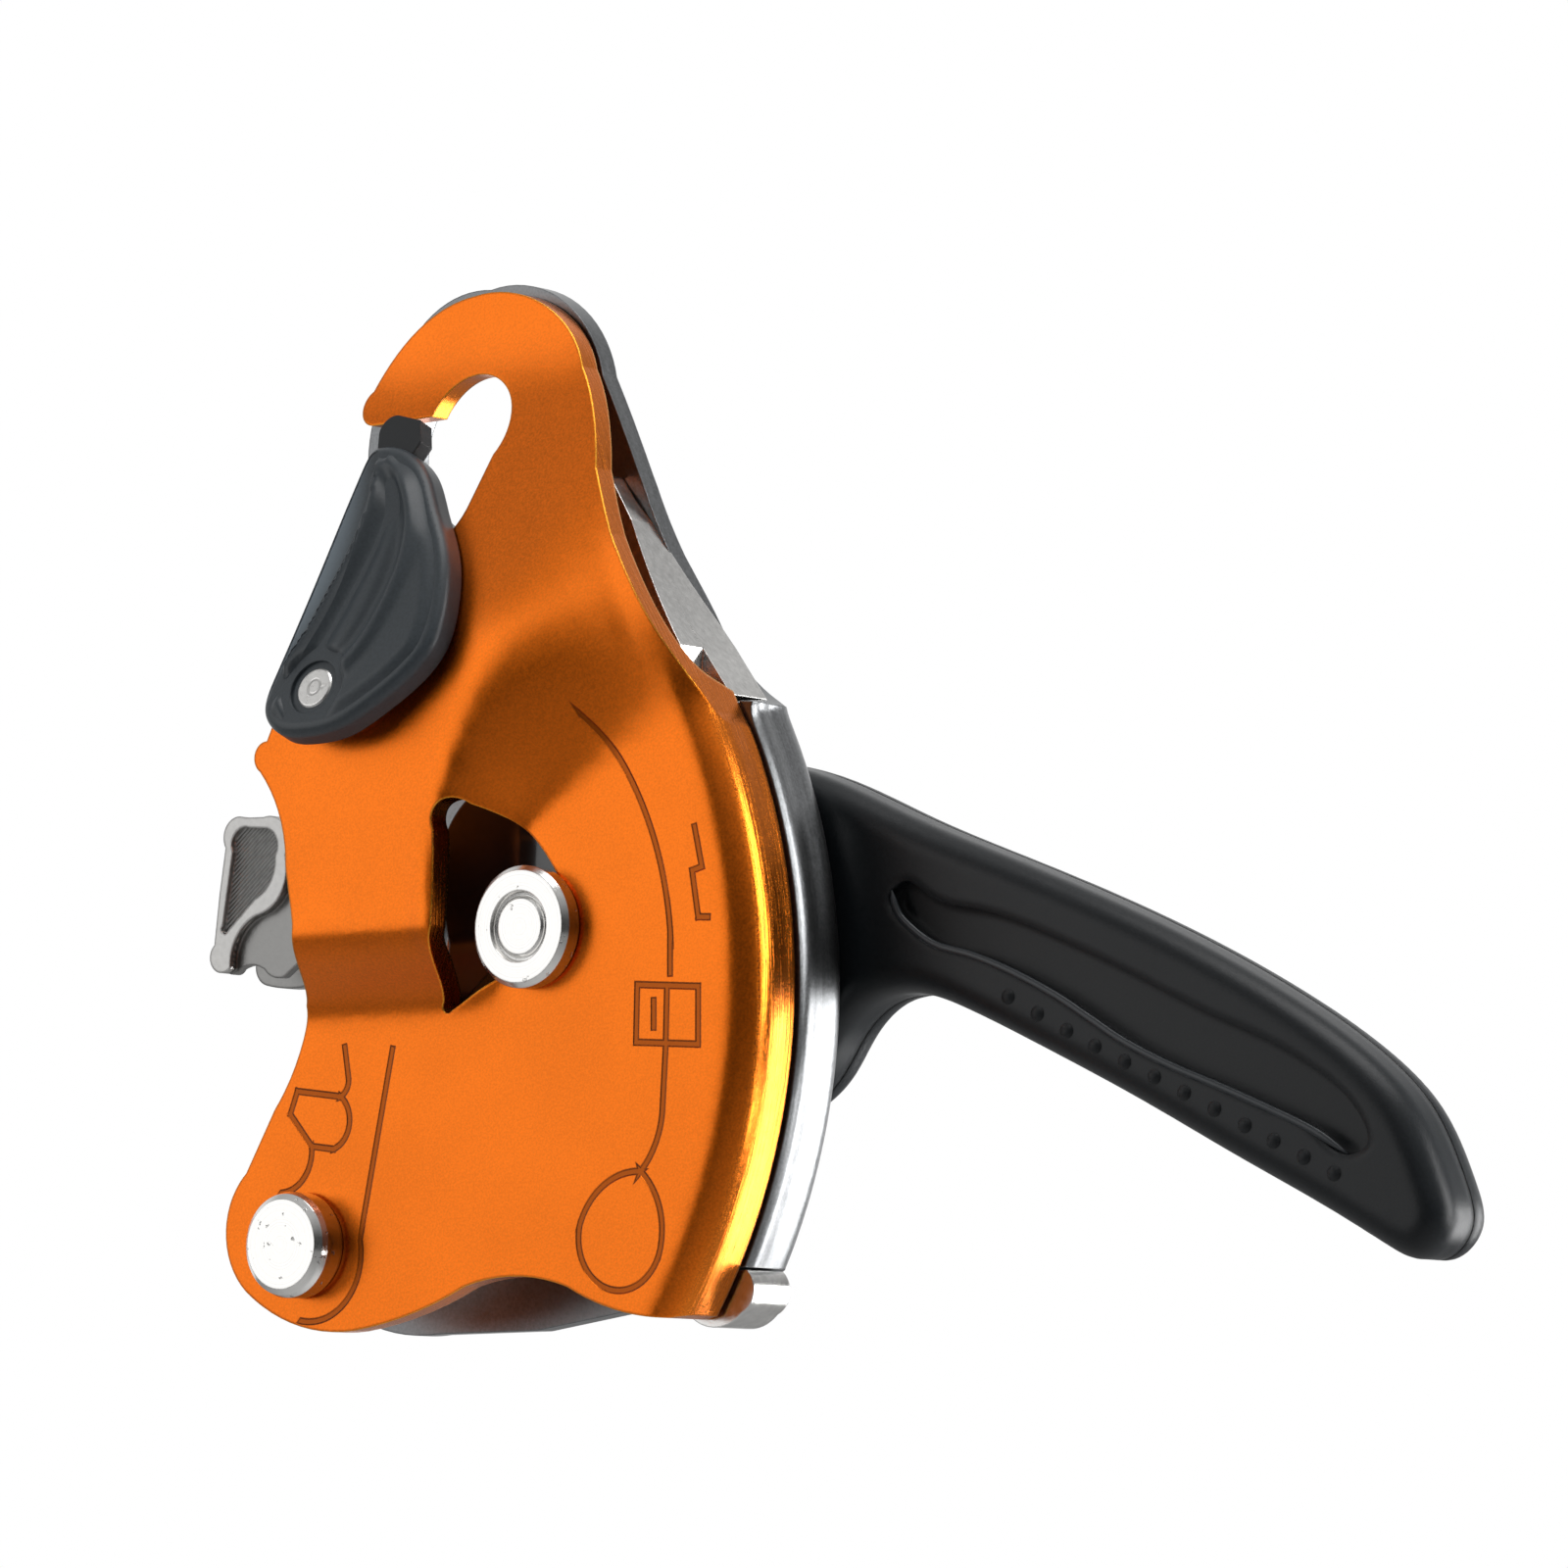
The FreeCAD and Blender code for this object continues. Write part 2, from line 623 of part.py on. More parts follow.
def make_central_axle():
    """Riveted axle: dished head over the swinging plate, shank through the cam and the lever."""
    head_base = FRONT_FACE - GAP
    head_top = head_base - cell("axle_head_height")
    bevel = 0.7
    radius, head = cell("axle_radius"), cell("axle_head_radius")
    dish = cell("axle_dish_radius")
    back = AXLE_BACK
    return turned_part("central_axle", [
        (0, head_top + 0.25), (dish - 0.5, head_top + 0.25), (dish, head_top + 0.7), (dish + 0.3, head_top + 0.7),
        (dish + 0.6, head_top), (head - bevel, head_top), (head, head_top + bevel), (head, head_base - 0.3),
        (head - 0.3, head_base), (radius, head_base), (radius, back - 0.6), (radius - 0.6, back), (0, back)],
        cell("axle_x"), cell("axle_z"))


def make_axle_collar():
    """Hard steel ring on the axle inside the plate window; the plate rests against it when shut."""
    radius, collar = cell("axle_radius"), cell("axle_neck_radius")
    front, back = FRONT_FACE - GAP, COVER_FRONT - GAP
    return turned_part("axle_collar", [
        (radius, front), (collar - 0.3, front), (collar, front + 0.3), (collar, back - 0.3),
        (collar - 0.3, back), (radius, back)], cell("axle_x"), cell("axle_z"))


def make_axle_cap():
    """Domed rear cap that holds the lever on the axle."""
    cap, height = cell("cap_radius"), cell("cap_height")
    base = AXLE_BACK
    return turned_part("axle_cap", [
        (0, base), (cap - 0.4, base), (cap, base + 0.4), (cap, base + height * 0.5),
        (cap * 0.8, base + height * 0.9), (cap * 0.5, base + height), (0, base + height)],
        cell("axle_x"), cell("axle_z"))


def make_pivot_pin():
    """Pin that the front plate swings on, with its bevelled round head."""
    radius, head = cell("pivot_radius"), cell("pivot_head_radius")
    base = FRONT_FACE - cell("washer_height") - GAP
    top = base - cell("pivot_head_height")
    back = REAR_FACE + 1.2
    return turned_part("pivot_pin", [
        (0, top), (head - 1.1, top), (head - 0.3, top + 0.7), (head, top + 1.6), (head, base),
        (radius, base), (radius, REAR_FACE), (radius + 1.6, REAR_FACE), (radius + 1.2, back), (0, back)],
        cell("pivot_x"), cell("pivot_z"))


def make_pivot_washer():
    radius, outer = cell("pivot_radius"), cell("washer_radius")
    back = FRONT_FACE - GAP * 0.5
    front = back - cell("washer_height")
    return turned_part("pivot_washer", [(radius, front), (outer, front), (outer, back), (radius, back)],
                       cell("pivot_x"), cell("pivot_z"))


def make_rope_bollard():
    """Waisted steel sleeve on the pivot pin that the braking rope bends round."""
    radius, outer, waist = cell("pivot_radius"), cell("bollard_radius"), cell("bollard_waist")
    front = FRONT_INNER + GAP
    back = REAR_INNER
    return turned_part("rope_bollard", [
        (radius, front), (outer, front), (outer, front + 1.4), (waist + 0.2, front + 3.6), (waist, front + 5.4),
        (waist, back - 5.4), (waist + 0.2, back - 3.6), (outer, back - 1.4), (outer, back), (radius, back)],
        cell("pivot_x"), cell("pivot_z"))


# ---------------------------------------------------------------- rope shoe

def rim_point(radius, z):
    return (num("rim_x") + math.sqrt(radius ** 2 - (z - num("rim_z")) ** 2), z)


SHOE_TOP = -38.0
SHOE_LOW = -108.0
# across from the top corner of the liner, with the height
SHOE_CREST = [(-18.0, -5.4), (-13.6, -11.7), ((-9.3, -19.8), (-2.8, -29.8)), (1.3, -35.4), (0.5, -36.0),
              (0.5, -40.6), (-2.5, -40.6), ((-8.1, -31.5), (-13.0, -19.5))]
SHOE_APRON = [(-18.0, -5.4), (-13.6, -11.7), ((-9.3, -19.8), (-3.4, -29.0)), (-3.6, -32.4), (-6.2, -32.4),
              ((-9.6, -26.6), (-13.0, -19.5))]
# across from the low corner of the liner, with the height
SHOE_TOE = [(-2.1, -111.0), (-3.7, -113.8)]
SHOE_LIP = [(-2.5, -109.7), (3.9, -109.7), ((5.1, -112.6), (3.1, -115.2)), ((-1.3, -117.0), (-6.0, -114.8)),
            (-4.5, -111.8)]


def liner_radius():
    return num("rim_radius") - num("plate_gauge") - num("liner_gap")


def shifted(path, across):
    """The path moved across by an amount."""
    if isinstance(path[0], float):
        return (path[0] + across, path[1])
    return [tuple(shifted(point, across) for point in step) if isinstance(step[0], tuple)
            else shifted(step, across) for step in path]


def make_rope_shoe():
    """Steel shoe that lines the rope channel; its crest shows above the rim and its lip below it."""
    body = new_body("rope_shoe")
    outer = liner_radius()
    inner = outer - num("shoe_gauge")
    middle = (SHOE_TOP + SHOE_LOW) / 2
    top_corner, low_corner = rim_point(outer, SHOE_TOP)[0], rim_point(outer, SHOE_LOW)[0]
    toe = shifted(SHOE_TOE, low_corner)
    heel = (low_corner - 6.2, -114.0)
    liner = [rim_point(outer, SHOE_TOP), (rim_point(outer, middle), rim_point(outer, SHOE_LOW)),
             (toe[0], toe[1]), ((low_corner - 4.9, -115.2), heel),
             ((low_corner - 4.8, -111.2), rim_point(inner, SHOE_LOW)),
             (rim_point(inner, middle), rim_point(inner, SHOE_TOP))]
    pad_between(body, "liner", SHOE_FRONT, REAR_INNER, path_drawer(liner))
    crest_front = cell("rear_rim_y") + GAP
    pad_between(body, "crest", crest_front, REAR_INNER, path_drawer(shifted(SHOE_CREST, top_corner)))
    pad_between(body, "apron", cell("apron_front"), crest_front, path_drawer(shifted(SHOE_APRON, top_corner)))
    pad_between(body, "lip", crest_front, REAR_INNER, path_drawer(shifted(SHOE_LIP, low_corner)))
    # behind, the crest follows the lean of the rear plate's neck up to a point
    sketch = new_sketch(body, "slant_sketch", "YZ_Plane", low_corner + 17.0)
    draw_path(sketch, [(-0.1, -3.0), (-0.1, -8.6), (5.4, -25.2), (6.1, -29.0), (20.0, -29.0), (20.0, -3.0)])
    slant = body.newObject("PartDesign::Pocket", "rope_shoe_slant")
    slant.Profile = sketch
    slant.Length = 50
    doc.recompute()
    # in front, the apron stays clear of the gate and the hook as the front plate swings over it
    sketch = new_sketch(body, "apron_sketch", "YZ_Plane", low_corner + 17.0)
    draw_path(sketch, [(-2.3, -3.0), (-6.4, -31.0), (-6.9, -36.0), (-20.0, -36.0), (-20.0, -3.0)])
    slant = body.newObject("PartDesign::Pocket", "rope_shoe_apron_slant")
    slant.Profile = sketch
    slant.Length = 50
    doc.recompute()
    return body


def rivet_places():
    radius = liner_radius() - num("shoe_gauge") / 2
    return [rim_point(radius, z) for z in (-52.0, -77.0, -101.0)]


def make_shoe_rivets():
    """Flush rivets through the rear plate into the back edge of the shoe."""
    rivets = []
    radius = cell("rivet_radius")
    head = radius * 2
    for number, (x, z) in enumerate(rivet_places(), start=1):
        rivets.append(turned_part("shoe_rivet_%d" % number, [
            (0, REAR_INNER), (radius, REAR_INNER), (radius, REAR_FACE), (head, REAR_FACE),
            (head - 0.2, REAR_FACE + 0.3), (0, REAR_FACE + 0.3)], x, z))
    return rivets


# ---------------------------------------------------------------- friction spur

SPUR_EAR = [(-37.9, -51.0), ((-37.4, -47.6), (-34.4, -47.1)), (-31.0, -47.2), ((-27.4, -48.4), (-27.2, -52.6)),
            ((-27.8, -57.4), (-31.6, -60.2)), ((-35.8, -63.0), (-36.9, -67.2)), ((-39.4, -67.6), (-39.8, -64.0)),
            (-38.9, -57.0)]
SPUR_FLANK = [(-39.2, -65.0), (-38.6, -67.6), ((-37.6, -68.0), (-36.3, -67.3)), ((-34.2, -66.9), (-32.0, -67.6)),
              ((-30.4, -68.7), (-28.6, -68.8)), (-25.6, -66.8), (-25.6, -53.0), (-33.0, -53.0)]
SPUR_ROOT = [(-33.8, -53.2), ((-33.0, -51.0), (-30.6, -50.6)), (-16.0, -50.2), (-16.0, -62.0), (-24.6, -64.6),
             ((-31.0, -64.8), (-33.8, -62.0))]
SPUR_REAR_EAR = [(-39.0, -52.6), ((-37.6, -50.2), (-34.6, -50.0)), (-27.0, -50.4), (-26.6, -62.6), (-29.6, -68.6),
                 ((-34.8, -69.4), (-39.8, -68.8)), ((-41.6, -67.2), (-41.2, -64.6))]
SPUR_RECESS = [(-36.6, -51.6), ((-36.0, -48.9), (-33.6, -48.5)), (-31.0, -48.7), ((-29.0, -49.8), (-29.0, -52.6)),
               ((-29.6, -55.6), (-32.6, -58.2)), (-37.8, -62.6), ((-38.4, -62.4), (-38.3, -61.4))]


def make_friction_spur():
    """Cast cleat with two ears and a round-bottomed groove that the braking rope is laid over."""
    body = new_body("friction_spur")
    ear_back = SPUR_FRONT + cell("spur_ear")
    pad_between(body, "front_ear", SPUR_FRONT, ear_back, path_drawer(SPUR_EAR))
    pad_between(body, "flank", SPUR_FRONT + cell("spur_step"), ear_back, path_drawer(SPUR_FLANK))
    pad_between(body, "root", SPUR_FRONT + cell("spur_step"), REAR_INNER, path_drawer(SPUR_ROOT))
    pad_between(body, "rear_ear", REAR_INNER - cell("spur_ear"), REAR_INNER, path_drawer(SPUR_REAR_EAR))
    pocket_between(body, "recess", SPUR_FRONT - 1.0, SPUR_FRONT + cell("spur_recess"), path_drawer(SPUR_RECESS))
    return body


def make_spur_screws():
    """Screws through the rear plate into the root of the spur."""
    screws = []
    for number, x in enumerate((-20.6, -28.6), start=1):
        radius = cell("spur_screw_radius")
        head = radius * 1.7
        base = REAR_FACE if number == 1 else REAR_INNER
        screws.append(turned_part("spur_screw_%d" % number, [
            (0, base), (head, base), (head, base + 1.2), (head - 0.5, base + 1.7), (1.1, base + 1.7),
            (1.1, base + 0.7), (0, base + 0.7)], x, -56.0))
    return screws


# ---------------------------------------------------------------- gate
# these parts are drawn about the gate pin, in a frame that leans with the neck

GATE_OUTLINE = [(0.6, 35.4), (4.6, 34.8), (9.8, 31.0), (13.0, 25.8), (16.8, 19.2), (18.8, 11.6), (18.2, 4.6),
                (15.0, 0.4), (10.6, -3.0), (5.6, -5.8), (0.0, -6.6), (-5.2, -5.8), (-8.2, -3.0), (-8.0, 2.4),
                (-6.4, 9.4), (-4.7, 17.4), (-3.2, 25.0), (-1.8, 31.6)]
GATE_SKIRT = [(0.0, 34.4), ((-2.2, 28.6), (-3.4, 22.6)), (-1.5, 22.2), ((-0.4, 28.0), (1.2, 33.6))]
TONGUE = [(0.2, 33.0), (-0.7, 37.6), ((0.1, 39.6), (2.5, 40.0)), (6.1, 39.0), (7.1, 35.8), (5.4, 32.6)]


def lean_with_neck(body):
    body.Placement = gate_placement()
    for letter, size in zip("xyz", (cell("gate_x"), GATE_Y, cell("gate_z"))):
        body.setExpression("Placement.Base." + letter, size.text)
    return body


def make_gate_shell():
    """Moulded catch over the plate's neck, with a skirt behind its thumb side."""
    body = lean_with_neck(new_body("gate_shell"))
    face, base = cell("gate_face"), cell("gate_base")
    pad_between(body, "slab", face, base, spline_drawer(GATE_OUTLINE))
    round_edges(body, "soften", edges_at(face), 1.5)
    pad_between(body, "skirt", base, cell("gate_skirt"), path_drawer(GATE_SKIRT))
    hole = cell("gate_pin_radius") + cell("running_fit")
    pocket_between(body, "bore", face - 1.0, base + 1.0, circle_drawer(0, 0, hole))
    pocket_between(body, "seat", face - 1.0, face + 1.0, circle_drawer(0, 0, cell("gate_pin_head") + 0.7))
    spring_room = base - 1.7
    pocket_between(body, "tongue_seat", cell("tongue_face"), base + 1.0, path_drawer(TONGUE))
    pocket_between(body, "spring_room", spring_room, base + 1.0, circle_drawer(0, 0, 4.6))
    return body


def make_gate_tongue():
    """Lug at the end of the gate that shuts the mouth below the hook."""
    body = lean_with_neck(new_body("gate_tongue"))
    pad_between(body, "lug", cell("tongue_face"), cell("gate_base"), path_drawer(TONGUE))
    return body


def make_gate_spring():
    """Torsion spring coiled round the gate pin, closed up as one ring of wire."""
    ring = doc.addObject("Part::Torus", "gate_spring")
    ring.Label = "gate_spring"
    ring.Radius1 = 3.9
    ring.Radius2 = 0.5
    ring.Placement = gate_placement().multiply(
        Placement(Vector(0, num("gate_base") - 0.9, 0), Rotation(Vector(1, 0, 0), 90)))
    doc.recompute()
    return ring


def make_gate_pin():
    """Rivet that the gate turns on, closed over behind the front plate."""
    radius, head = cell("gate_pin_radius"), cell("gate_pin_head")
    face, base = cell("gate_face"), cell("gate_rivet_base")
    body = turned_part("gate_pin", [
        (0, face + 0.2), (head - 0.5, face + 0.2), (head, face + 0.6), (head, face + 0.9), (radius, face + 0.9),
        (radius, base), (head + 0.4, base), (head, base + 0.7), (0, base + 0.7)], 0, 0)
    return lean_with_neck(body)


# ---------------------------------------------------------------- cam

def nosed_path(radius, reach, nose, angle):
    """Round cam with a nose, joined by its two tangents, about its own centre."""
    half = math.degrees(math.acos((radius - nose) / reach))

    def at(distance, degrees, base=(0.0, 0.0)):
        turn = math.radians(degrees)
        return (base[0] + distance * math.cos(turn), base[1] + distance * math.sin(turn))

    tip = at(reach, angle)
    return [at(radius, angle + half), (at(radius, angle + 180), at(radius, angle - half)),
            at(nose, angle - half, tip), (at(nose, angle, tip), at(nose, angle + half, tip))]


def make_cam():
    """Locking cam with the rope groove turned into its rim."""
    body = new_body("cam", cell("axle_x"), cell("axle_z"))
    front, back = CAM_FRONT, CAM_BACK
    outline = nosed_path(num("cam_radius"), num("cam_nose"), num("nose_radius"), num("cam_nose_angle"))
    pad_between(body, "blank", front, back, path_drawer(outline))
    sketch = new_sketch(body, "groove_sketch", "XY_Plane")
    draw_circle(sketch, cell("cam_radius") + cell("rope_radius") - cell("rope_bite"), 0, cell("rope_radius"))
    before = body.Shape.Volume
    groove = body.newObject("PartDesign::Groove", "cam_groove")
    groove.Profile = sketch
    groove.ReferenceAxis = (sketch, ["V_Axis"])
    groove.Angle = 360
    doc.recompute()
    assert body.Shape.Volume < before, "the rope groove cut nothing"
    bore = cell("axle_radius") + cell("running_fit")
    pocket_between(body, "bore", front - 1.0, back + 1.0, circle_drawer(0, 0, bore))
    x, z = dog_place()
    pocket_between(body, "dog_hole", back - 5.0, back + 1.0, circle_drawer(x, z, cell("dog_radius")))
    return body


def dog_place():
    turn = math.radians(num("dog_angle"))
    return num("dog_arm") * math.cos(turn), num("dog_arm") * math.sin(turn)


def make_cam_cover():
    """Black moulded cover on the cam's front, seen through the plate window."""
    body = new_body("cam_cover", cell("axle_x"), cell("axle_z"))
    front, back = COVER_FRONT, CAM_FRONT
    outline = nosed_path(num("cover_radius"), num("cam_nose") * 0.86, num("nose_radius") * 0.7,
                         num("cam_nose_angle"))
    pad_between(body, "disc", front, back, path_drawer(outline))
    lobe = nosed_path(num("cover_radius"), num("cover_lobe"), num("cover_radius") * 0.7, num("cover_lobe_angle"))
    pad_between(body, "lobe", front, back, path_drawer(lobe))
    bore = cell("axle_radius") + cell("running_fit")
    pocket_between(body, "bore", front - 1.0, back + 1.0, circle_drawer(0, 0, bore))
    return body


def make_cam_dog():
    """Drive dog: the lever's disc pushes it through the slot in the rear plate."""
    x, z = dog_place()
    radius = cell("dog_radius")
    front = CAM_BACK - 5.0
    back = LEVER_FRONT + cell("hub_disc_height") - 0.3
    return turned_part("cam_dog", [(0, front), (radius, front), (radius, back), (0, back)],
                       cell("axle_x") + x, cell("axle_z") + z)


# ---------------------------------------------------------------- lever

LEVER_OUTLINE = [
    (19.3, -41.2), (32.0, -41.6), (46.0, -44.2), (61.9, -50.8), (77.0, -56.8), (92.4, -62.9), (108.0, -69.9),
    (121.8, -77.2), (132.2, -83.9), (140.2, -91.4), (145.0, -100.8), (145.9, -106.6), (141.8, -110.4),
    (136.6, -108.8), (129.0, -104.6), (113.9, -96.9), (99.0, -89.2), (84.0, -82.0), (72.0, -76.6), (64.0, -74.2),
    (57.4, -75.0), (52.4, -78.8), (48.6, -84.0), (43.0, -88.2), (35.0, -90.0), (25.0, -89.4), (11.0, -86.4), (-1.6, -77.2),
    (-4.7, -65.0), (2.0, -48.6)]
GRIP_RECESS = [
    (62.0, -60.8), (64.4, -59.9), (68.0, -62.0), (75.0, -64.0), (84.0, -66.8), (93.6, -70.8), (103.2, -75.2),
    (111.8, -79.2), (120.4, -82.8), (128.6, -87.4), (133.8, -92.0), (135.2, -96.4), (132.6, -97.5), (127.0, -94.2),
    (120.2, -91.2), (113.4, -88.4), (105.7, -85.4), (98.8, -82.2), (93.4, -79.0), (88.0, -75.8), (81.2, -72.5),
    (75.0, -70.1), (68.7, -68.3), (64.2, -65.3)]


def lever_body(label, front, back):
    body = new_body(label)
    pad_between(body, "plan", front, back, spline_drawer(LEVER_OUTLINE))
    return body


def bore_lever(body, front, back, radius):
    pocket_between(body, "bore", front - 1.0, back + 1.0, circle_drawer(cell("axle_x"), cell("axle_z"), radius))


def make_lever_front():
    """Front shell of the lever, with the grip recess and the seat of the steel disc."""
    front, back = LEVER_FRONT, LEVER_SEAM
    body = lever_body("lever_front", front, back)
    round_edges(body, "soften", edges_at(front), cell("lever_round"))
    floor = front + cell("hub_disc_height")
    pocket_between(body, "disc_seat", front - 1.0, floor,
                   circle_drawer(cell("axle_x"), cell("axle_z"), cell("hub_disc_radius")))
    bore_lever(body, front, back, cell("axle_radius") + 0.5)
    pocket_between(body, "recess", front - 1.0, front + cell("grip_recess"), spline_drawer(GRIP_RECESS))
    return body


LEVER_SCREWS = [(66.0, -62.0), (103.0, -78.5), (133.0, -98.0)]


def make_lever_back():
    """Back shell of the lever."""
    front, back = LEVER_SEAM, LEVER_BACK
    body = lever_body("lever_back", front, back)
    round_edges(body, "soften", edges_at(back), cell("lever_round"))
    bore_lever(body, front, back, cell("axle_radius") + 0.5)
    for number, (x, z) in enumerate(LEVER_SCREWS, start=1):
        pocket_between(body, "screw_seat_%d" % number, back - 1.4, back + 1.0,
                       circle_drawer(x, z, cell("screw_radius") + 1.2))
    return body


def make_lever_disc():
    """Steel disc that carries the lever on the axle; its bent slot gives the lever its free travel."""
    body = new_body("lever_disc", cell("axle_x"), cell("axle_z"))
    front = LEVER_FRONT
    back = front + cell("hub_disc_height")
    bore = cell("axle_radius") + cell("running_fit")
    pad_between(body, "disc", front, back, ring_drawer(0, 0, cell("hub_disc_radius"), bore))
    first = num("dog_angle")
    slot = arc_path(num("dog_arm"), num("dog_radius") + 0.1, first, first + num("lever_fold"))
    pocket_between(body, "slot", front - 1.0, back + 1.0, path_drawer(slot))
    return body


def make_lever_washer():
    radius = cell("axle_radius")
    front = LEVER_BACK + GAP * 0.5
    back = AXLE_BACK
    outer = cell("cap_radius") + 1.6
    return turned_part("lever_washer", [(radius, front), (outer, front), (outer, back), (radius, back)],
                       cell("axle_x"), cell("axle_z"))


def make_lever_screws():
    """Socket screws that close the two shells of the lever."""
    screws = []
    for number, (x, z) in enumerate(LEVER_SCREWS, start=1):
        radius = cell("screw_radius")
        base = LEVER_BACK - 1.4
        head = radius + 1.1
        screws.append(turned_part("lever_screw_%d" % number, [
            (0, base), (head, base), (head, base + 1.0), (head - 0.4, base + 1.4), (1.3, base + 1.4),
            (1.3, base + 0.5), (0, base + 0.5)], x, z))
    return screws


# ---------------------------------------------------------------- the assembly

parts = [
    make_front_plate(), make_rear_plate(), make_central_axle(), make_axle_collar(), make_axle_cap(),
    make_pivot_pin(), make_pivot_washer(), make_rope_bollard(), make_rope_shoe(), make_friction_spur(),
    make_gate_shell(), make_gate_tongue(), make_gate_spring(), make_gate_pin(), make_cam(), make_cam_cover(),
    make_cam_dog(), make_lever_front(), make_lever_back(), make_lever_disc(), make_lever_washer()]
parts += make_shoe_rivets() + make_spur_screws() + make_lever_screws()
doc.recompute()

for item in doc.Objects:
    states = [state for state in item.State if state in ("Invalid", "Error")]
    assert not states, item.Label + " failed: " + ", ".join(states)
for item in parts:
    assert not item.Shape.isNull() and item.Shape.isValid(), item.Label + " has a bad shape"
    assert len(item.Shape.Solids) == 1, item.Label + " is not one solid"

os.makedirs("parts", exist_ok=True)
for item in parts:
    item.Shape.exportStep("parts/%s.step" % item.Label)
    print("%-16s %9.0f mm3" % (item.Label, item.Shape.Volume))
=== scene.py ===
"""Finishes, moulded relief and studio for a rope descender hung from its eye."""
import json
import math

import bmesh
import bpy
from bpy.props import FloatProperty, FloatVectorProperty, PointerProperty
from mathutils import Matrix, Vector
from mathutils.geometry import intersect_point_line


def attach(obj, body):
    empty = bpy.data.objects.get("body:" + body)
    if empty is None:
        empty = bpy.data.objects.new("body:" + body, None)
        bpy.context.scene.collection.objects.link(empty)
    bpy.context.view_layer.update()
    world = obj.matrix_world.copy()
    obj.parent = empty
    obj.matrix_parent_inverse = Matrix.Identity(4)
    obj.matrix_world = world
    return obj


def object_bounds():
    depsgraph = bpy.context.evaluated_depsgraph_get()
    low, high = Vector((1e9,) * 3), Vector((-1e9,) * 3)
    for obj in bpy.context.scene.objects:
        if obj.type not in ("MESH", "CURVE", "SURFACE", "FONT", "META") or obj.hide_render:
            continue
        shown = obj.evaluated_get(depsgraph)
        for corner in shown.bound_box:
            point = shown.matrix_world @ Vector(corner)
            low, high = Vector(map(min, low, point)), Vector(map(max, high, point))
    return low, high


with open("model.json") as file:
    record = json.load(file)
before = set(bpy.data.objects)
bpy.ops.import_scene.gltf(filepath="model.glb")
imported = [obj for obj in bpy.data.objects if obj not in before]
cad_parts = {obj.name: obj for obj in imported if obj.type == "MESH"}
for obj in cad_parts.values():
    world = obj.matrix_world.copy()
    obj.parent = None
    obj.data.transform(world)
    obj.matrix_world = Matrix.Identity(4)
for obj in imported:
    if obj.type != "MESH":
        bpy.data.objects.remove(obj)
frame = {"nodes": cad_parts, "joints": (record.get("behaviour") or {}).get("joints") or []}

bl_info = {
    "name": "Rope descender",
    "version": (1, 0, 0),
    "blender": (4, 5, 0),
    "location": "View3D > Sidebar > Descender",
    "description": "Finishes and moulded relief for the descender, and its studio",
    "category": "Object",
}

NODES = frame["nodes"]
CAD_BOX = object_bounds()
MM = 0.001
ACROSS_PLATES = (1.0, 0.0, 1.0)
OUT = (0.0, -1.0, 0.0)
WHITE = (1.0, 1.0, 1.0, 1.0)
JOINTS = {joint["name"]: joint for joint in frame["joints"]}


def axis_spot(name):
    """Where a joint's axis crosses the plates, as (across, up) in millimetres."""
    across, _, up = JOINTS[name]["pos_m"]
    return across / MM, up / MM


AXLE = axis_spot("cam_turn")
PIVOT = axis_spot("plate_swing")
GATE_PIN_HEAD = (-8.0, -32.7)


# ---------------------------------------------------------------- shader maths

class Signal:
    """One socket of a finish; arithmetic on it adds the nodes."""

    def __init__(self, finish, socket):
        self.finish = finish
        self.socket = socket

    def join(self, operation, *sides):
        """One maths node on the sides, of the vector kind where any side is a vector."""
        vector = any(isinstance(side, Signal) and side.socket.type == "VECTOR" for side in sides)
        if vector:
            sides = [side if isinstance(side, (Signal, tuple)) else (side,) * 3 for side in sides]
        kind = "ShaderNodeVectorMath" if vector else "ShaderNodeMath"
        return self.finish.node(kind, {"operation": operation}, dict(enumerate(sides)))[0]

    def __add__(self, other):
        return self.join("ADD", self, other)

    def __sub__(self, other):
        return self.join("SUBTRACT", self, other)

    def __rsub__(self, other):
        return self.join("SUBTRACT", other, self)

    def __mul__(self, other):
        return self.join("MULTIPLY", self, other)

    def __abs__(self):
        return self.join("ABSOLUTE", self)

    __radd__ = __add__
    __rmul__ = __mul__

    def least(self, other):
        return self.join("MINIMUM", self, other)

    def most(self, other):
        return self.join("MAXIMUM", self, other)

    def ramp(self, low, high, start=0.0, end=1.0):
        """Smooth step from start at low to end at high."""
        inputs = {"Value": self, "From Min": low, "From Max": high, "To Min": start, "To Max": end}
        return self.finish.node("ShaderNodeMapRange", {"interpolation_type": "SMOOTHSTEP"},
                                inputs)["Result"]

    def along(self, direction):
        """Length of a vector along a direction."""
        return self.finish.node("ShaderNodeVectorMath", {"operation": "DOT_PRODUCT"},
                                {0: self, 1: direction})["Value"]

    def reach(self, centre):
        """Distance of a vector from a centre."""
        return self.finish.node("ShaderNodeVectorMath", {"operation": "DISTANCE"},
                                {0: self, 1: centre})["Value"]


class Made:
    """The outputs of one node, by name or number."""

    def __init__(self, finish, node):
        self.finish = finish
        self.node = node

    def __getitem__(self, key):
        return Signal(self.finish, self.node.outputs[key])


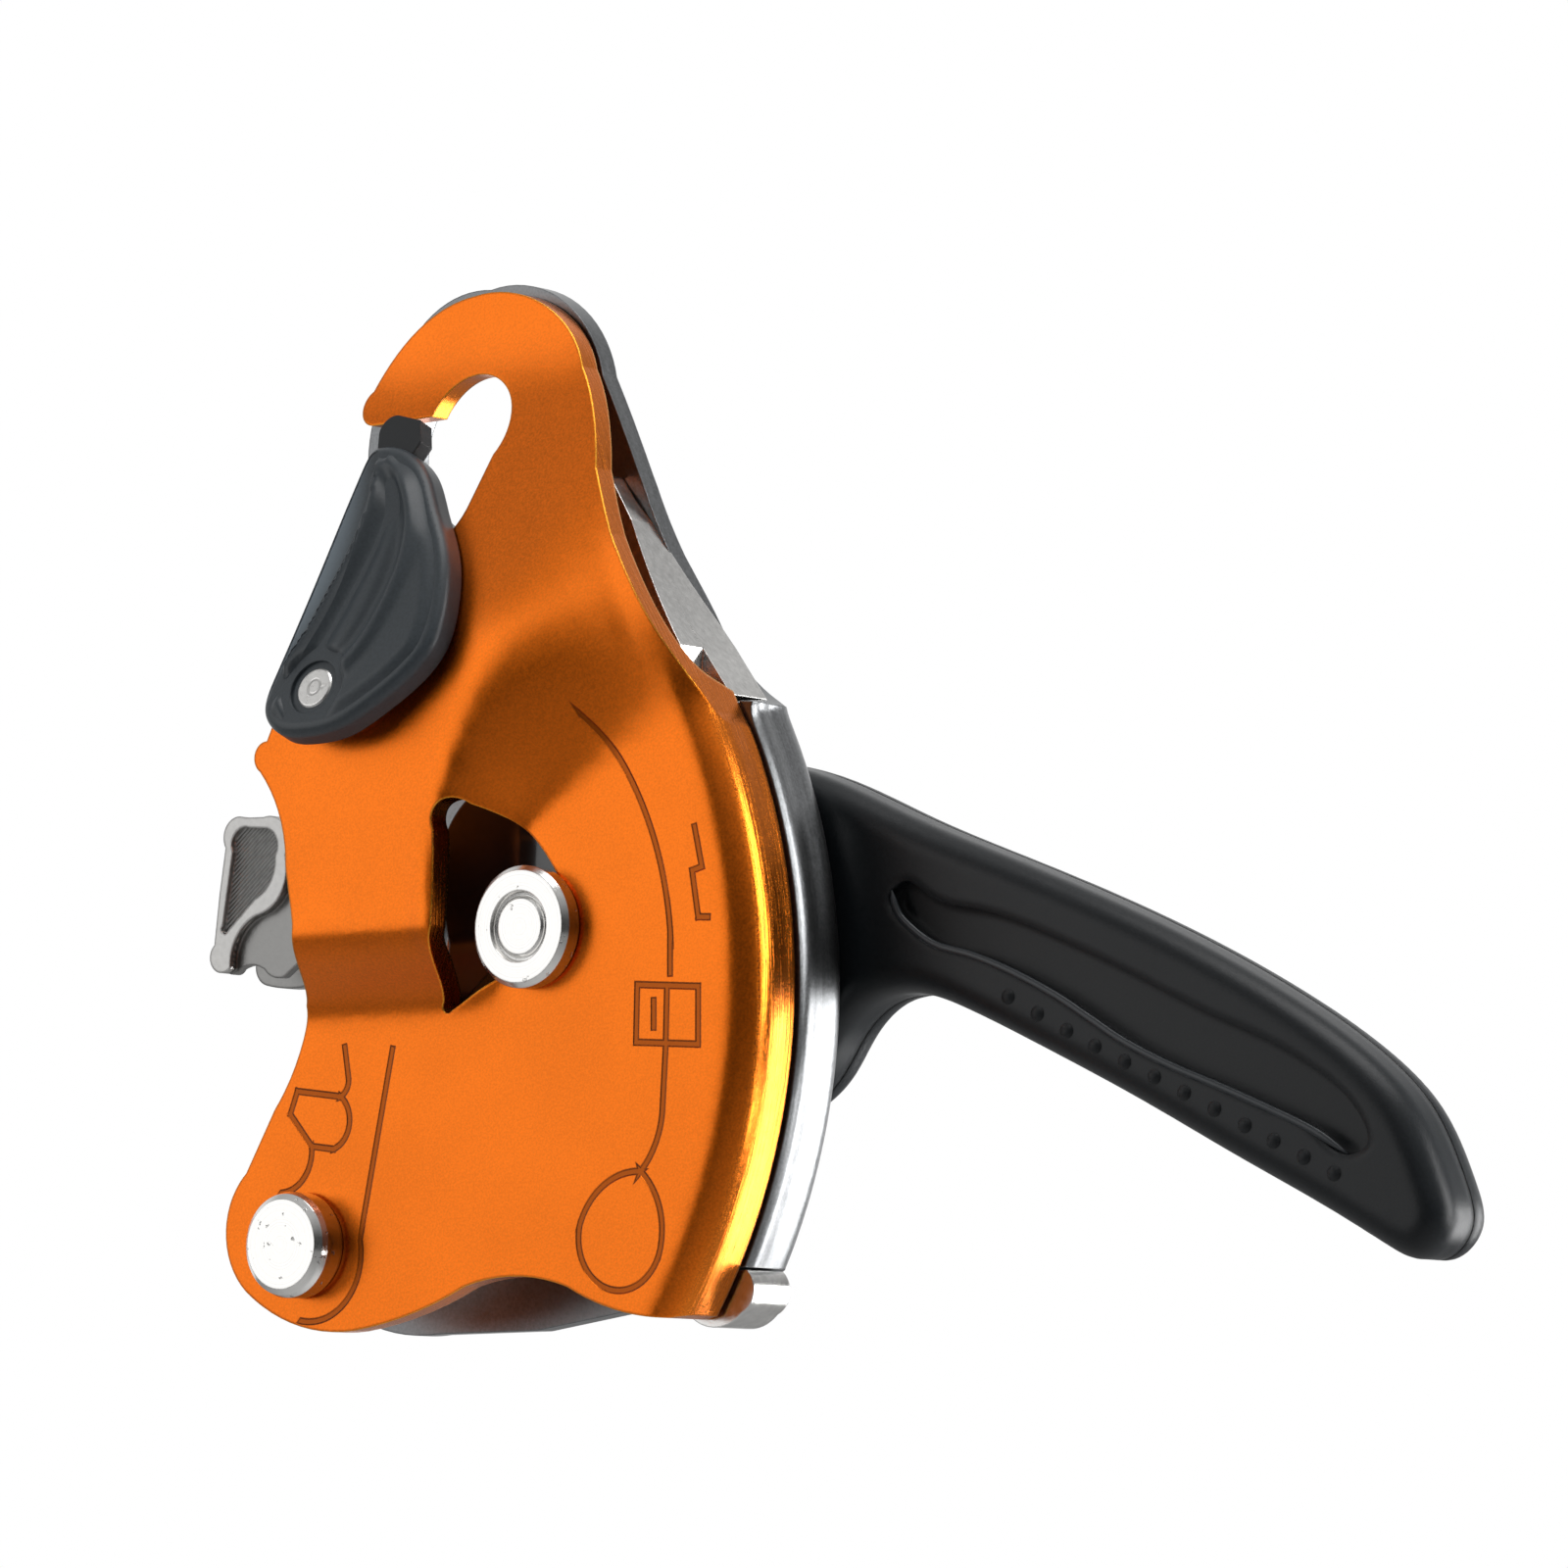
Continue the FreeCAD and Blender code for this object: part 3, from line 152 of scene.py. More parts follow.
class Finish:
    """A material under construction, with its places in millimetres."""

    def __init__(self, name, owner=None):
        self.data = owner or bpy.data.materials.new(name)
        self.data.use_nodes = True
        self.tree = self.data.node_tree
        self.tree.nodes.clear()

    def node(self, kind, settings=None, inputs=None):
        """One node with its settings, its inputs linked or set."""
        made = self.tree.nodes.new(kind)
        for name, value in (settings or {}).items():
            setattr(made, name, value)
        for key, value in (inputs or {}).items():
            if isinstance(value, Signal):
                self.tree.links.new(value.socket, made.inputs[key])
            else:
                made.inputs[key].default_value = value
        return Made(self, made)

    def place(self, stretch=(1.0, 1.0, 1.0)):
        """Place on the part in millimetres, stretched along each axis."""
        scale = tuple(side / MM for side in stretch)
        return self.node("ShaderNodeTexCoord")["Object"] * scale

    def grain(self, per_mm, detail=3.0, stretch=(1.0, 1.0, 1.0)):
        """Noise about zero, with so many grains to the millimetre."""
        noise = self.node("ShaderNodeTexNoise", None, {
            "Vector": self.place(stretch), "Scale": per_mm, "Detail": detail, "Roughness": 0.55})
        return noise["Fac"] - 0.5

    def mix(self, share, first, second):
        """A colour between two, by a share from 0 to 1."""
        return self.node("ShaderNodeMix", {"data_type": "RGBA"}, {0: share, 6: first, 7: second})[2]

    def rounded(self, radius):
        """Normal with the sharp edges softened."""
        return self.node("ShaderNodeBevel", {"samples": 6}, {"Radius": radius * MM})["Normal"]

    def corners(self, radius):
        """Mask of the sharp edges."""
        true = self.node("ShaderNodeNewGeometry")["Normal"]
        return self.rounded(radius).along(true).ramp(0.80, 0.99, 1.0, 0.0)

    def bump(self, height, depth, under=None):
        """Relief of so many millimetres over the height's range of one."""
        inputs = {"Height": height, "Distance": depth * MM, "Strength": 1.0}
        if under:
            inputs["Normal"] = under
        return self.node("ShaderNodeBump", None, inputs)["Normal"]

    def surface(self, colour, roughness, normal, constants=None):
        """End the finish with its shader, and return the material."""
        inputs = {"Base Color": colour, "Roughness": roughness, "Normal": normal}
        inputs.update(constants or {})
        shader = self.node("ShaderNodeBsdfPrincipled", None, inputs)["BSDF"]
        self.node("ShaderNodeOutputMaterial", None, {"Surface": shader})
        return self.data


def shade(colour, amount):
    """A colour made lighter or darker by a factor."""
    return tuple(min(1.0, side * amount) for side in colour[:3]) + (1.0,)


def dress(material, *names):
    """Give CAD nodes or new pieces one material in every slot."""
    for name in names:
        target = NODES.get(name) or bpy.data.objects[name]
        slots = target.data.materials
        if not slots:
            slots.append(material)
        for index in range(len(slots)):
            slots[index] = material


# ---------------------------------------------------------------- engraved lines

def flat(x, z):
    """A point of the plates' plane as a vector."""
    return (x, 0.0, z)


def stroke(page, start, end):
    """Distance of the page's points from a straight cut."""
    run = Vector(flat(*end)) - Vector(flat(*start))
    half = run.length / 2.0
    way = run.normalized()
    side = Vector((-way.z, 0.0, way.x))
    middle = Vector(flat(*start)) + run / 2.0
    across = abs(page.along(tuple(side)) - middle.dot(side))
    over = abs(page.along(tuple(way)) - middle.dot(way)) - half
    return across.most(over)


def circle_through(start, middle, end):
    """Centre and radius of the circle through three points."""
    one, two, three = (Vector(point) for point in (start, middle, end))
    first, second = two - one, three - one
    cross = 2.0 * (first.x * second.y - first.y * second.x)
    square_1, square_2 = first.length_squared, second.length_squared
    centre = one + Vector((second.y * square_1 - first.y * square_2,
                           first.x * square_2 - second.x * square_1)) / cross
    return tuple(centre), (one - centre).length


def bow(page, start, middle, end):
    """Distance of the page's points from a cut bent through three points."""
    centre, radius = circle_through(start, middle, end)
    one, two, three = (Vector(flat(*point)) for point in (start, middle, end))
    first = two - one
    chord = (three - one).normalized()
    side = Vector((-chord.z, 0.0, chord.x))
    if side.dot(first) > 0.0:
        side = -side
    ring = abs(page.reach(flat(*centre)) - radius)
    return ring.most(page.along(tuple(side)) - one.dot(side))


# Straight cuts as two points, and bent cuts as three, in millimetres across and up.
STROKES = [
    ((42.0, -66.5), (42.0, -72.0)), ((36.6, -73.2), (36.4, -80.6)),
    ((36.6, -73.2), (46.6, -73.9)), ((46.6, -73.9), (46.6, -81.3)),
    ((36.4, -80.6), (46.6, -81.3)), ((41.5, -73.6), (41.3, -81.0)),
    ((39.3, -75.4), (39.3, -78.8)), ((41.3, -81.4), (40.8, -89.1)),
    ((-4.8, -79.7), (-10.3, -104.6)), ((-13.1, -79.1), (-12.5, -82.8)),
    ((-13.8, -85.6), (-21.4, -84.6)), ((-21.4, -84.6), (-22.6, -87.6)),
    ((-22.6, -87.6), (-18.8, -92.0)), ((-18.8, -92.0), (-15.0, -92.5)),
    ((46.0, -53.4), (47.2, -58.6)), ((47.2, -58.6), (45.6, -59.0)),
    ((45.6, -59.0), (46.6, -65.0)), ((46.6, -65.0), (48.2, -65.1))]
BOWS = [
    ((28.8, -38.1), (37.1, -49.5), (42.0, -66.5)), ((40.8, -89.1), (39.7, -93.6), (37.2, -97.2)),
    ((37.2, -97.2), (31.4, -98.6), (27.2, -103.6)),
    ((27.2, -103.6), (31.6, -112.0), (40.4, -107.4)),
    ((40.4, -107.4), (40.2, -101.6), (37.2, -97.2)),
    ((-10.3, -104.6), (-12.5, -112.4), (-20.5, -115.0)),
    ((-12.5, -82.8), (-12.7, -84.6), (-13.8, -85.6)),
    ((-15.0, -92.5), (-12.3, -89.6), (-13.8, -85.6)),
    ((-18.8, -92.2), (-20.2, -96.2), (-24.1, -98.0))]
CUT_HALF_WIDTH = (0.26, 0.52)
CUT_FACE = (9.2, 9.6)


def engraving(finish):
    """Mask of the cuts on the front of the swinging plate."""
    page = finish.place(ACROSS_PLATES)
    closest = None
    for cut in [stroke(page, *ends) for ends in STROKES] + [bow(page, *points) for points in BOWS]:
        closest = closest.least(cut) if closest else cut
    outside = finish.place().along(OUT).ramp(*CUT_FACE)
    return closest.ramp(*CUT_HALF_WIDTH, 1.0, 0.0) * outside


# ---------------------------------------------------------------- finishes

def anodised_front(look):
    """Blasted and anodised sheet: fine sparkle, machined edge, a painted highlight along the sharp
    edges, engraved lines.
    """
    finish = Finish("orange_anodising")
    speckle = finish.grain(3.2, 2.0)
    cloud = finish.grain(0.05, 2.0)
    turned = finish.grain(0.9, 3.0, (0.12, 3.5, 0.12))
    normal = finish.node("ShaderNodeTexCoord")["Normal"]
    facing = abs(normal.along((0.0, 1.0, 0.0)))
    edge = facing.ramp(0.25, 0.75, 1.0, 0.0)
    cut = engraving(finish)
    colour = finish.mix((speckle * 1.5 + cloud * 0.5 + 0.5).ramp(0.0, 1.0),
                        shade(look.orange, 0.80), shade(look.orange, 1.14))
    colour = finish.mix(edge * 0.25, colour, shade(look.orange_edge_highlight, 0.9))
    # Painted highlight: the sharp edges are lightened to a bright yellow orange.
    colour = finish.mix(finish.corners(0.4) * 0.8, colour, shade(look.orange_edge_highlight, 1.6))
    colour = finish.mix(cut * 0.72, colour, shade(look.orange, 0.2))
    rough = 0.34 + speckle * 0.16 + edge * (turned * 0.3 - 0.1)
    height = speckle * 0.010 + turned * edge * 0.05 - cut * 0.22
    relief = finish.bump(height, 1.0, finish.rounded(0.5))
    constants = {"Metallic": 1.0, "Coat Weight": 0.12, "Coat Roughness": 0.25}
    return finish.surface(colour, rough, relief, constants)


def anodised_rear(look):
    """Dark anodised sheet with a faint rolling grain."""
    finish = Finish("gunmetal_anodising")
    speckle = finish.grain(2.6, 3.0)
    rolled = finish.grain(0.6, 3.0, (0.1, 4.0, 0.1))
    colour = finish.mix((speckle + rolled * 0.6 + 0.5).ramp(0.1, 0.9),
                        shade(look.gunmetal, 0.8), shade(look.gunmetal, 1.25))
    relief = finish.bump(speckle * 0.012 + rolled * 0.02, 1.0, finish.rounded(0.3))
    return finish.surface(colour, 0.33 + speckle * 0.14 + rolled * 0.08, relief, {"Metallic": 1.0})


def bright_steel(look, name, centre, rough=0.16, rings=(), spot_share=0.15):
    """Turned steel about an axis along the depth, with tool rings and handling marks."""
    finish = Finish(name)
    radius = finish.place(ACROSS_PLATES).reach(flat(*centre))
    tool = finish.node("ShaderNodeTexNoise", {"noise_dimensions": "1D"},
                       {"W": radius, "Scale": 5.0, "Detail": 2.0})["Fac"] - 0.5
    marks = finish.grain(1.3, 4.0)
    spots = finish.grain(0.7, 3.0).ramp(0.15, 0.21)
    groove = None
    for ring in rings:
        line = abs(radius - ring).ramp(0.07, 0.24, 1.0, 0.0)
        groove = groove.most(line) if groove else line
    colour = finish.mix((marks * 0.5 + tool * 0.5 + 0.5).ramp(0.0, 1.0),
                        shade(look.steel, 0.95), shade(look.steel, 1.2))
    colour = finish.mix(spots * spot_share, colour, shade(look.steel, 0.22))
    height = tool * 0.006 + marks * 0.004 - spots * 0.03
    if groove:
        colour = finish.mix(groove * 0.4, colour, shade(look.steel, 0.4))
        height = height - groove * 0.04
    relief = finish.bump(height, 1.0, finish.rounded(0.25))
    return finish.surface(colour, rough + marks * 0.2 + spots * 0.2, relief, {"Metallic": 1.0})


def plain_steel(look, name, tone, rough):
    """Steel wire, rivets and tumbled castings."""
    finish = Finish(name)
    marks = finish.grain(1.1, 4.0)
    dull = finish.grain(0.12, 2.0)
    colour = finish.mix((marks * 0.8 + dull * 0.6 + 0.5).ramp(0.0, 1.0),
                        shade(look.steel, tone * 0.8), shade(look.steel, tone * 1.15))
    relief = finish.bump(marks * 0.03, 1.0, finish.rounded(0.25))
    return finish.surface(colour, rough + marks * 0.16, relief, {"Metallic": 1.0})


SPUR_FLOOR = 6.4
SPUR_RIB_WAY = (-0.62, 0.0, 0.78)
SPUR_RIB_PITCH = 0.48


def spur_casting(look):
    """Tumbled casting with fine ribs in its recess, and painted shade in that recess and in the
    hollow below its front ear.
    """
    finish = Finish("spur_casting")
    marks = finish.grain(1.1, 4.0)
    depth = finish.place().along(OUT)
    hollow = depth.ramp(SPUR_FLOOR - 0.4, SPUR_FLOOR + 0.5, 1.0, 0.0)
    recess = abs(depth - SPUR_FLOOR).ramp(0.1, 0.3, 1.0, 0.0)
    way = finish.place(ACROSS_PLATES).along(SPUR_RIB_WAY)
    ribs = finish.node("ShaderNodeMath", {"operation": "PINGPONG"},
                       {0: way, 1: SPUR_RIB_PITCH / 2.0})[0] * 4.0
    colour = finish.mix((marks * 0.8 + 0.5).ramp(0.0, 1.0),
                        shade(look.steel, 0.5), shade(look.steel, 0.78))
    # Painted shade: the hollow below the front ear is darkened.
    colour = finish.mix(hollow * (1.0 - recess) * 0.6, colour, shade(look.steel, 0.16))
    # Painted shade: the ribbed recess is darkened, in stripes along the ribs.
    colour = finish.mix(recess * (ribs * -0.5 + 0.55), colour, shade(look.steel, 0.2))
    relief = finish.bump(marks * 0.03 + ribs * recess * 0.10, 1.0, finish.rounded(0.5))
    return finish.surface(colour, 0.34 + marks * 0.16, relief, {"Metallic": 1.0})


def moulded(name, colour, rough, spark, seam=None, edge=0.3, shine=0.5):
    """Moulded nylon: fine eroded texture, small scuffs and the seam of the mould."""
    finish = Finish(name)
    texture = finish.grain(2.4, 3.0)
    scuff = finish.grain(0.35, 4.0).ramp(0.12, 0.3)
    tint = finish.mix((texture + 0.5).ramp(0.2, 0.8), shade(colour, 0.85), shade(colour, 1.15))
    tint = finish.mix(scuff * 0.25, tint, shade(colour, 1.7))
    height = texture * spark
    if seam is not None:
        line = abs(finish.place().along((0.0, 1.0, 0.0)) - seam).ramp(0.05, 0.22, 1.0, 0.0)
        tint = finish.mix(line * 0.8, tint, shade(colour, 0.2))
        height = height - line * 0.15
    relief = finish.bump(height, 1.0, finish.rounded(edge))
    constants = {"Metallic": 0.0, "Specular IOR Level": shine}
    return finish.surface(tint, rough + texture * 0.12 + scuff * 0.08, relief, constants)


# The facet beyond this arc falls away; FACET_FACING tells the leaf's face from its rim.
FACET_ARC = [(-6.9, 0.4), (-6.2, -15.4), (-11.9, -29.6)]
FACET_FACING = (0.0, 0.94, 0.34)


def gate_moulding(look):
    """Satin nylon whose face falls away to the left of the thumb ridge, with a painted reflection
    lightening that facet.
    """
    finish = Finish("gate_moulding")
    texture = finish.grain(2.4, 3.0)
    centre, radius = circle_through(*FACET_ARC)
    page = finish.place(ACROSS_PLATES)
    fall = radius - page.reach(flat(*centre))
    normal = finish.node("ShaderNodeTexCoord")["Normal"]
    outside = abs(normal.along(FACET_FACING)).ramp(0.5, 0.8)
    tint = finish.mix((texture + 0.5).ramp(0.2, 0.8),
                      shade(look.gate, 0.85), shade(look.gate, 1.15))
    # Painted reflection: the facet left of the thumb ridge grows lighter away from the arc.
    tint = finish.mix((fall + texture).ramp(0.6, 5.0) * outside, tint, shade(look.gate, 4.5))
    height = texture * 0.014 - fall.most(0.0) * outside * 0.6
    relief = finish.bump(height, 1.0, finish.rounded(0.3))
    return finish.surface(tint, 0.4 + texture * 0.12, relief, {"Metallic": 0.0})


def gloss_black(look):
    """Polished black moulding over the cam."""
    finish = Finish("gloss_black")
    wave = finish.grain(0.15, 2.0)
    colour = finish.mix((wave + 0.5).ramp(0.2, 0.8), shade(look.lever, 0.5), shade(look.lever, 0.9))
    relief = finish.bump(wave * 0.05, 1.0, finish.rounded(0.4))
    return finish.surface(colour, 0.12 + wave * 0.08, relief, {"Metallic": 0.0, "Coat Weight": 0.6})


# ---------------------------------------------------------------- mesh help

def piece(name, mesh_maker, body, material):
    """A named mesh on a body, dressed in a material."""
    mesh = bpy.data.meshes.new(name)
    work = bmesh.new()
    mesh_maker(work)
    bmesh.ops.recalc_face_normals(work, faces=work.faces)
    for face in work.faces:
        face.smooth = True
    work.to_mesh(mesh)
    work.free()
    item = bpy.data.objects.new(name, mesh)
    bpy.context.scene.collection.objects.link(item)
    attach(item, body)
    dress(material, name)
    return item


def curve_through(points, steps):
    """Points of a smooth line through the given plan points."""
    ends = [points[0] * 2.0 - points[1]] + points + [points[-1] * 2.0 - points[-2]]
    line = []
    for index in range(1, len(ends) - 2):
        before, start, end, after = ends[index - 1:index + 3]
        for step in range(steps):
            t = step / steps
            line.append(0.5 * (2.0 * start + (end - before) * t
                               + (2.0 * before - 5.0 * start + 4.0 * end - after) * t * t
                               + (3.0 * start - before - 3.0 * end + after) * t * t * t))
    line.append(points[-1])
    return line


def nearest(point, line):
    """Distance of a plan point from a line, and on which side of it the point lies."""
    best, side = 1e9, 1.0
    for start, end in zip(line, line[1:]):
        foot, share = intersect_point_line(point, start, end)
        foot = start if share < 0.0 else end if share > 1.0 else foot
        gap = (point - foot).length
        if gap < best:
            run, off = end - start, point - start
            best, side = gap, 1.0 if run.x * off.y - run.y * off.x > 0.0 else -1.0
    return best, side


def smooth(value, low, high):
    """Smooth step from 0 at low to 1 at high."""
    t = min(1.0, max(0.0, (value - low) / (high - low)))
    return t * t * (3.0 - 2.0 * t)


# ---------------------------------------------------------------- gate relief

# Outline and ridges of the leaf, in millimetres across and up the gate's own plane.
GATE_EDGE = [(0.6, 35.4), (4.6, 34.8), (9.8, 31.0), (13.0, 25.8), (16.8, 19.2), (18.8, 11.6),
             (18.2, 4.6), (15.0, 0.4), (10.6, -3.0), (5.6, -5.8), (0.0, -6.6), (-5.2, -5.8),
             (-8.2, -3.0), (-8.0, 2.4), (-6.4, 9.4), (-4.7, 17.4), (-3.2, 25.0), (-1.8, 31.6)]
THUMB_RIDGE = [(0.6, 34.4), (2.0, 30.4), (2.5, 26.0), (1.5, 19.8), (-0.5, 13.8), (-2.8, 8.0),
               (-5.4, 3.6)]
OUTER_RIDGE = [(3.8, 32.8), (8.8, 26.9), (10.8, 21.7), (11.0, 16.0), (9.5, 10.0), (7.4, 5.3),
               (5.0, 2.4)]
LEAF_RISE = 0.95
LEAF_FLOOR = 0.25
LEAF_SHOULDER = (0.7, 3.4)
FACET_DROP = 1.25
FACET_WIDTH = 2.6
OUTER_STEEPER = 1.7
PIN_WELL_DEPTH = 1.4
PIN_WELL_WALL = (4.2, 6.0)
# Rises and grooves beside the ridges: height, distance from the ridge and width.
THUMB_CREST = (0.55, 0.0, 1.3)
THUMB_GROOVE = (-0.75, 3.2, 1.7)
OUTER_CREST = (0.85, 0.0, 1.4)
OUTER_GROOVE = (-0.55, 2.4, 1.2)
RELIEF_PITCH = 0.4
RELIEF_INSET = 0.55
RELIEF_SINK = 0.4
RELIEF_COLUMNS = range(-22, 49)
RELIEF_ROWS = range(-18, 91)
GATE_FACE = -4.4
GATE_AXIS = Vector(JOINTS["gate_turn"]["axis"])
GATE_LEAN = math.atan2(GATE_AXIS.z, GATE_AXIS.y)
GATE_SPOT = Vector(JOINTS["gate_turn"]["pos_m"]) / MM


def gate_place(u, depth, w):
    """A point given in the gate's own plane, in the common frame."""
    return (Matrix.Rotation(GATE_LEAN, 3, "X") @ Vector((u, depth, w)) + GATE_SPOT) * MM


def swell(gap, height, offset, width):
    """A rounded rise at some distance from a line."""
    return height * math.exp(-((gap - offset) / width) ** 2)


def gate_height(point, edge, thumb, outer):
    """How far the relief stands off the gate's face."""
    inset = nearest(point, edge)[0]
    thumb_gap, thumb_side = nearest(point, thumb)
    outer_gap, outer_side = nearest(point, outer)
    height = LEAF_RISE * smooth(inset, *LEAF_SHOULDER) - LEAF_FLOOR
    if thumb_side < 0.0:
        height -= FACET_DROP * smooth(thumb_gap, 0.0, FACET_WIDTH)
    else:
        height += swell(thumb_gap, *THUMB_CREST) + swell(thumb_gap, *THUMB_GROOVE)
    height += swell(outer_gap * (1.0 if outer_side > 0.0 else OUTER_STEEPER), *OUTER_CREST)
    if outer_side < 0.0:
        height += swell(outer_gap, *OUTER_GROOVE)
    height -= PIN_WELL_DEPTH * (1.0 - smooth(point.length, *PIN_WELL_WALL))
    return height


def gate_relief(work):
    """Leaf of curved ridges moulded on the gate."""
    edge = curve_through([Vector(point) for point in GATE_EDGE + GATE_EDGE[:1]], 4)
    thumb = curve_through([Vector(point) for point in THUMB_RIDGE], 5)
    outer = curve_through([Vector(point) for point in OUTER_RIDGE], 5)
    grid = {}
    for column in RELIEF_COLUMNS:
        for row in RELIEF_ROWS:
            point = Vector((column * RELIEF_PITCH, row * RELIEF_PITCH))
            inset, side = nearest(point, edge)
            if side > 0.0 or inset < RELIEF_INSET:
                continue
            stand = max(-RELIEF_SINK, gate_height(point, edge, thumb, outer))
            grid[column, row] = work.verts.new(gate_place(point.x, GATE_FACE - stand, point.y))
    for column, row in grid:
        round_cell = ((column, row), (column + 1, row), (column + 1, row + 1), (column, row + 1))
        corners = [grid.get(spot) for spot in round_cell]
        if all(corners):
            work.faces.new(corners)


# ---------------------------------------------------------------- lever grip

# The lip and the row of studs, in millimetres across and up.
LIP = [(61.9, -60.9), (62.6, -63.2), (64.2, -65.3), (68.7, -68.3), (75.0, -70.1), (81.2, -72.5),
       (88.0, -75.8), (93.4, -79.0), (98.8, -82.2), (105.7, -85.4), (113.4, -88.4), (120.2, -91.2),
       (127.0, -94.2), (132.6, -97.5)]
LIP_RADIUS = 0.55
LIP_SINK = 0.12
LIP_FLATTEN = 0.62
LIP_SIDES = 10
STUD_LINE = [(80.6, -75.6), (93.1, -82.0), (105.6, -87.8), (118.1, -93.8), (130.4, -99.7)]
STUDS = 12
STUD_RADIUS = 1.05
STUD_HEIGHT = 0.55
STUD_SINK = 0.1
STUD_RINGS = 5
STUD_SIDES = 16
LEVER_FRONT = 9.5
LEVER_SEAM = 16.7


def bridge(work, one, two):
    """Band of faces between two rings with as many points."""
    for side in range(len(one)):
        after = (side + 1) % len(one)
        work.faces.new((one[side], one[after], two[after], two[side]))


def grip_lip(work):
    """Fine raised lip along the lower side of the grip recess."""
    line = curve_through([Vector(point) for point in LIP], 6)
    rings = []
    for index, point in enumerate(line):
        run = (line[min(index + 1, len(line) - 1)] - line[max(index - 1, 0)]).normalized()
        across = Vector((-run.y, run.x))
        share = index / (len(line) - 1)
        radius = LIP_RADIUS * smooth(min(share, 1.0 - share), -0.02, 0.06)
        ring = []
        for side in range(LIP_SIDES):
            turn = math.tau * side / LIP_SIDES
            spot = point + across * radius * math.cos(turn)
            depth = LEVER_FRONT + LIP_SINK + LIP_FLATTEN * radius * math.sin(turn)
            ring.append(work.verts.new(Vector((spot.x, depth, spot.y)) * MM))
        rings.append(ring)
    for one, two in zip(rings, rings[1:]):
        bridge(work, one, two)
    work.faces.new(rings[0])
    work.faces.new(rings[-1])


def grip_dots(work):
    """Row of domed grip studs under the recess."""
    line = curve_through([Vector(point) for point in STUD_LINE], 60)
    rise = STUD_HEIGHT + STUD_SINK
    turns = [math.tau * side / STUD_SIDES for side in range(STUD_SIDES)]
    for number in range(STUDS):
        centre = line[round(number * (len(line) - 1) / (STUDS - 1))]
        top = work.verts.new(Vector((centre.x, LEVER_FRONT - STUD_HEIGHT, centre.y)) * MM)
        rings = []
        for ring in range(1, STUD_RINGS + 1):
            lean = math.pi / 2 * ring / STUD_RINGS
            reach = STUD_RADIUS * math.sin(lean)
            level = LEVER_FRONT + STUD_SINK - rise * math.cos(lean)
            rings.append([work.verts.new(Vector((centre.x + reach * math.cos(turn), level,
                                                 centre.y + reach * math.sin(turn))) * MM)
                          for turn in turns])
        for side, start in enumerate(rings[0]):
            work.faces.new((top, rings[0][(side + 1) % STUD_SIDES], start))
        for one, two in zip(rings, rings[1:]):
            bridge(work, one, two)


# ---------------------------------------------------------------- properties

def colour_property(name, description, default):
    """A colour setting with its alpha."""
    return FloatVectorProperty(name=name, description=description, subtype="COLOR", size=4,
                               min=0.0, max=1.0, default=default)


class DescenderLook(bpy.types.PropertyGroup):
    """Colours of the descender's finishes."""

    orange: colour_property("Orange", "Anodising of the swinging plate", (0.86, 0.175, 0.008, 1.0))
    # Tints the machined side faces; a lighter copy of it is the painted highlight along the sharp
    # edges.
    orange_edge_highlight: colour_property("Orange edge", "Machined edges of the swinging plate",
                                 (1.0, 0.36, 0.04, 1.0))
    gunmetal: colour_property("Gunmetal", "Anodising of the rear plate", (0.20, 0.205, 0.21, 1.0))
    steel: colour_property("Steel", "Bare steel parts", (0.74, 0.73, 0.71, 1.0))
    gate: colour_property("Gate", "Moulding of the gate", (0.040, 0.050, 0.058, 1.0))
    lever: colour_property("Lever", "Moulding of the lever", (0.009, 0.011, 0.013, 1.0))


class DescenderStudio(bpy.types.PropertyGroup):
    """Sizes of the studio."""

    floor_drop: FloatProperty(name="Floor drop", description="How far the floor lies below the eye",
                              unit="LENGTH", default=1.3)
    floor_size: FloatProperty(name="Floor size", description="Side of the floor", unit="LENGTH",
                              default=12.0)
    focal_length: FloatProperty(name="Focal length", default=190.0,
                                description="Lens of the camera in millimetres")


# ---------------------------------------------------------------- operators

class DESCENDER_OT_plates(bpy.types.Operator):
    """Anodise the two side plates"""

    bl_idname = "descender.plates"
    bl_label = "Side plates"

    def execute(self, context):
        look = context.scene.descender_look
        dress(anodised_front(look), "front_plate")
        dress(anodised_rear(look), "rear_plate")
        return {"FINISHED"}


class DESCENDER_OT_pins(bpy.types.Operator):
    """Turn and polish the axle, the pivot and the rivets"""

    bl_idname = "descender.pins"
    bl_label = "Pins and rivets"

    def execute(self, context):
        look = context.scene.descender_look
        dress(bright_steel(look, "axle_steel", AXLE, rough=0.2, rings=(4.1,)),
              "central_axle", "axle_collar", "axle_cap")
        dress(bright_steel(look, "pivot_steel", PIVOT, rough=0.18, spot_share=0.6),
              "pivot_pin", "pivot_washer")
        dress(bright_steel(look, "gate_pin_steel", GATE_PIN_HEAD, rough=0.3, rings=(1.0,)),
              "gate_pin")
        dress(plain_steel(look, "rivet_steel", tone=0.75, rough=0.3),
              "shoe_rivet_1", "shoe_rivet_2", "shoe_rivet_3", "spur_screw_1", "spur_screw_2",
              "gate_spring", "lever_washer")
        dress(plain_steel(look, "blackened_steel", tone=0.22, rough=0.42),
              "lever_screw_1", "lever_screw_2", "lever_screw_3")
        return {"FINISHED"}


class DESCENDER_OT_rope_parts(bpy.types.Operator):
    """Finish the cam, the shoe, the bollard and the spur that the rope runs on"""

    bl_idname = "descender.rope_parts"
    bl_label = "Rope parts"

    def execute(self, context):
        look = context.scene.descender_look
        dress(bright_steel(look, "cam_steel", AXLE, rough=0.28), "cam", "cam_dog", "lever_disc")
        dress(gloss_black(look), "cam_cover")
        dress(plain_steel(look, "shoe_steel", tone=1.0, rough=0.24), "rope_shoe", "rope_bollard")
        dress(spur_casting(look), "friction_spur")
        return {"FINISHED"}


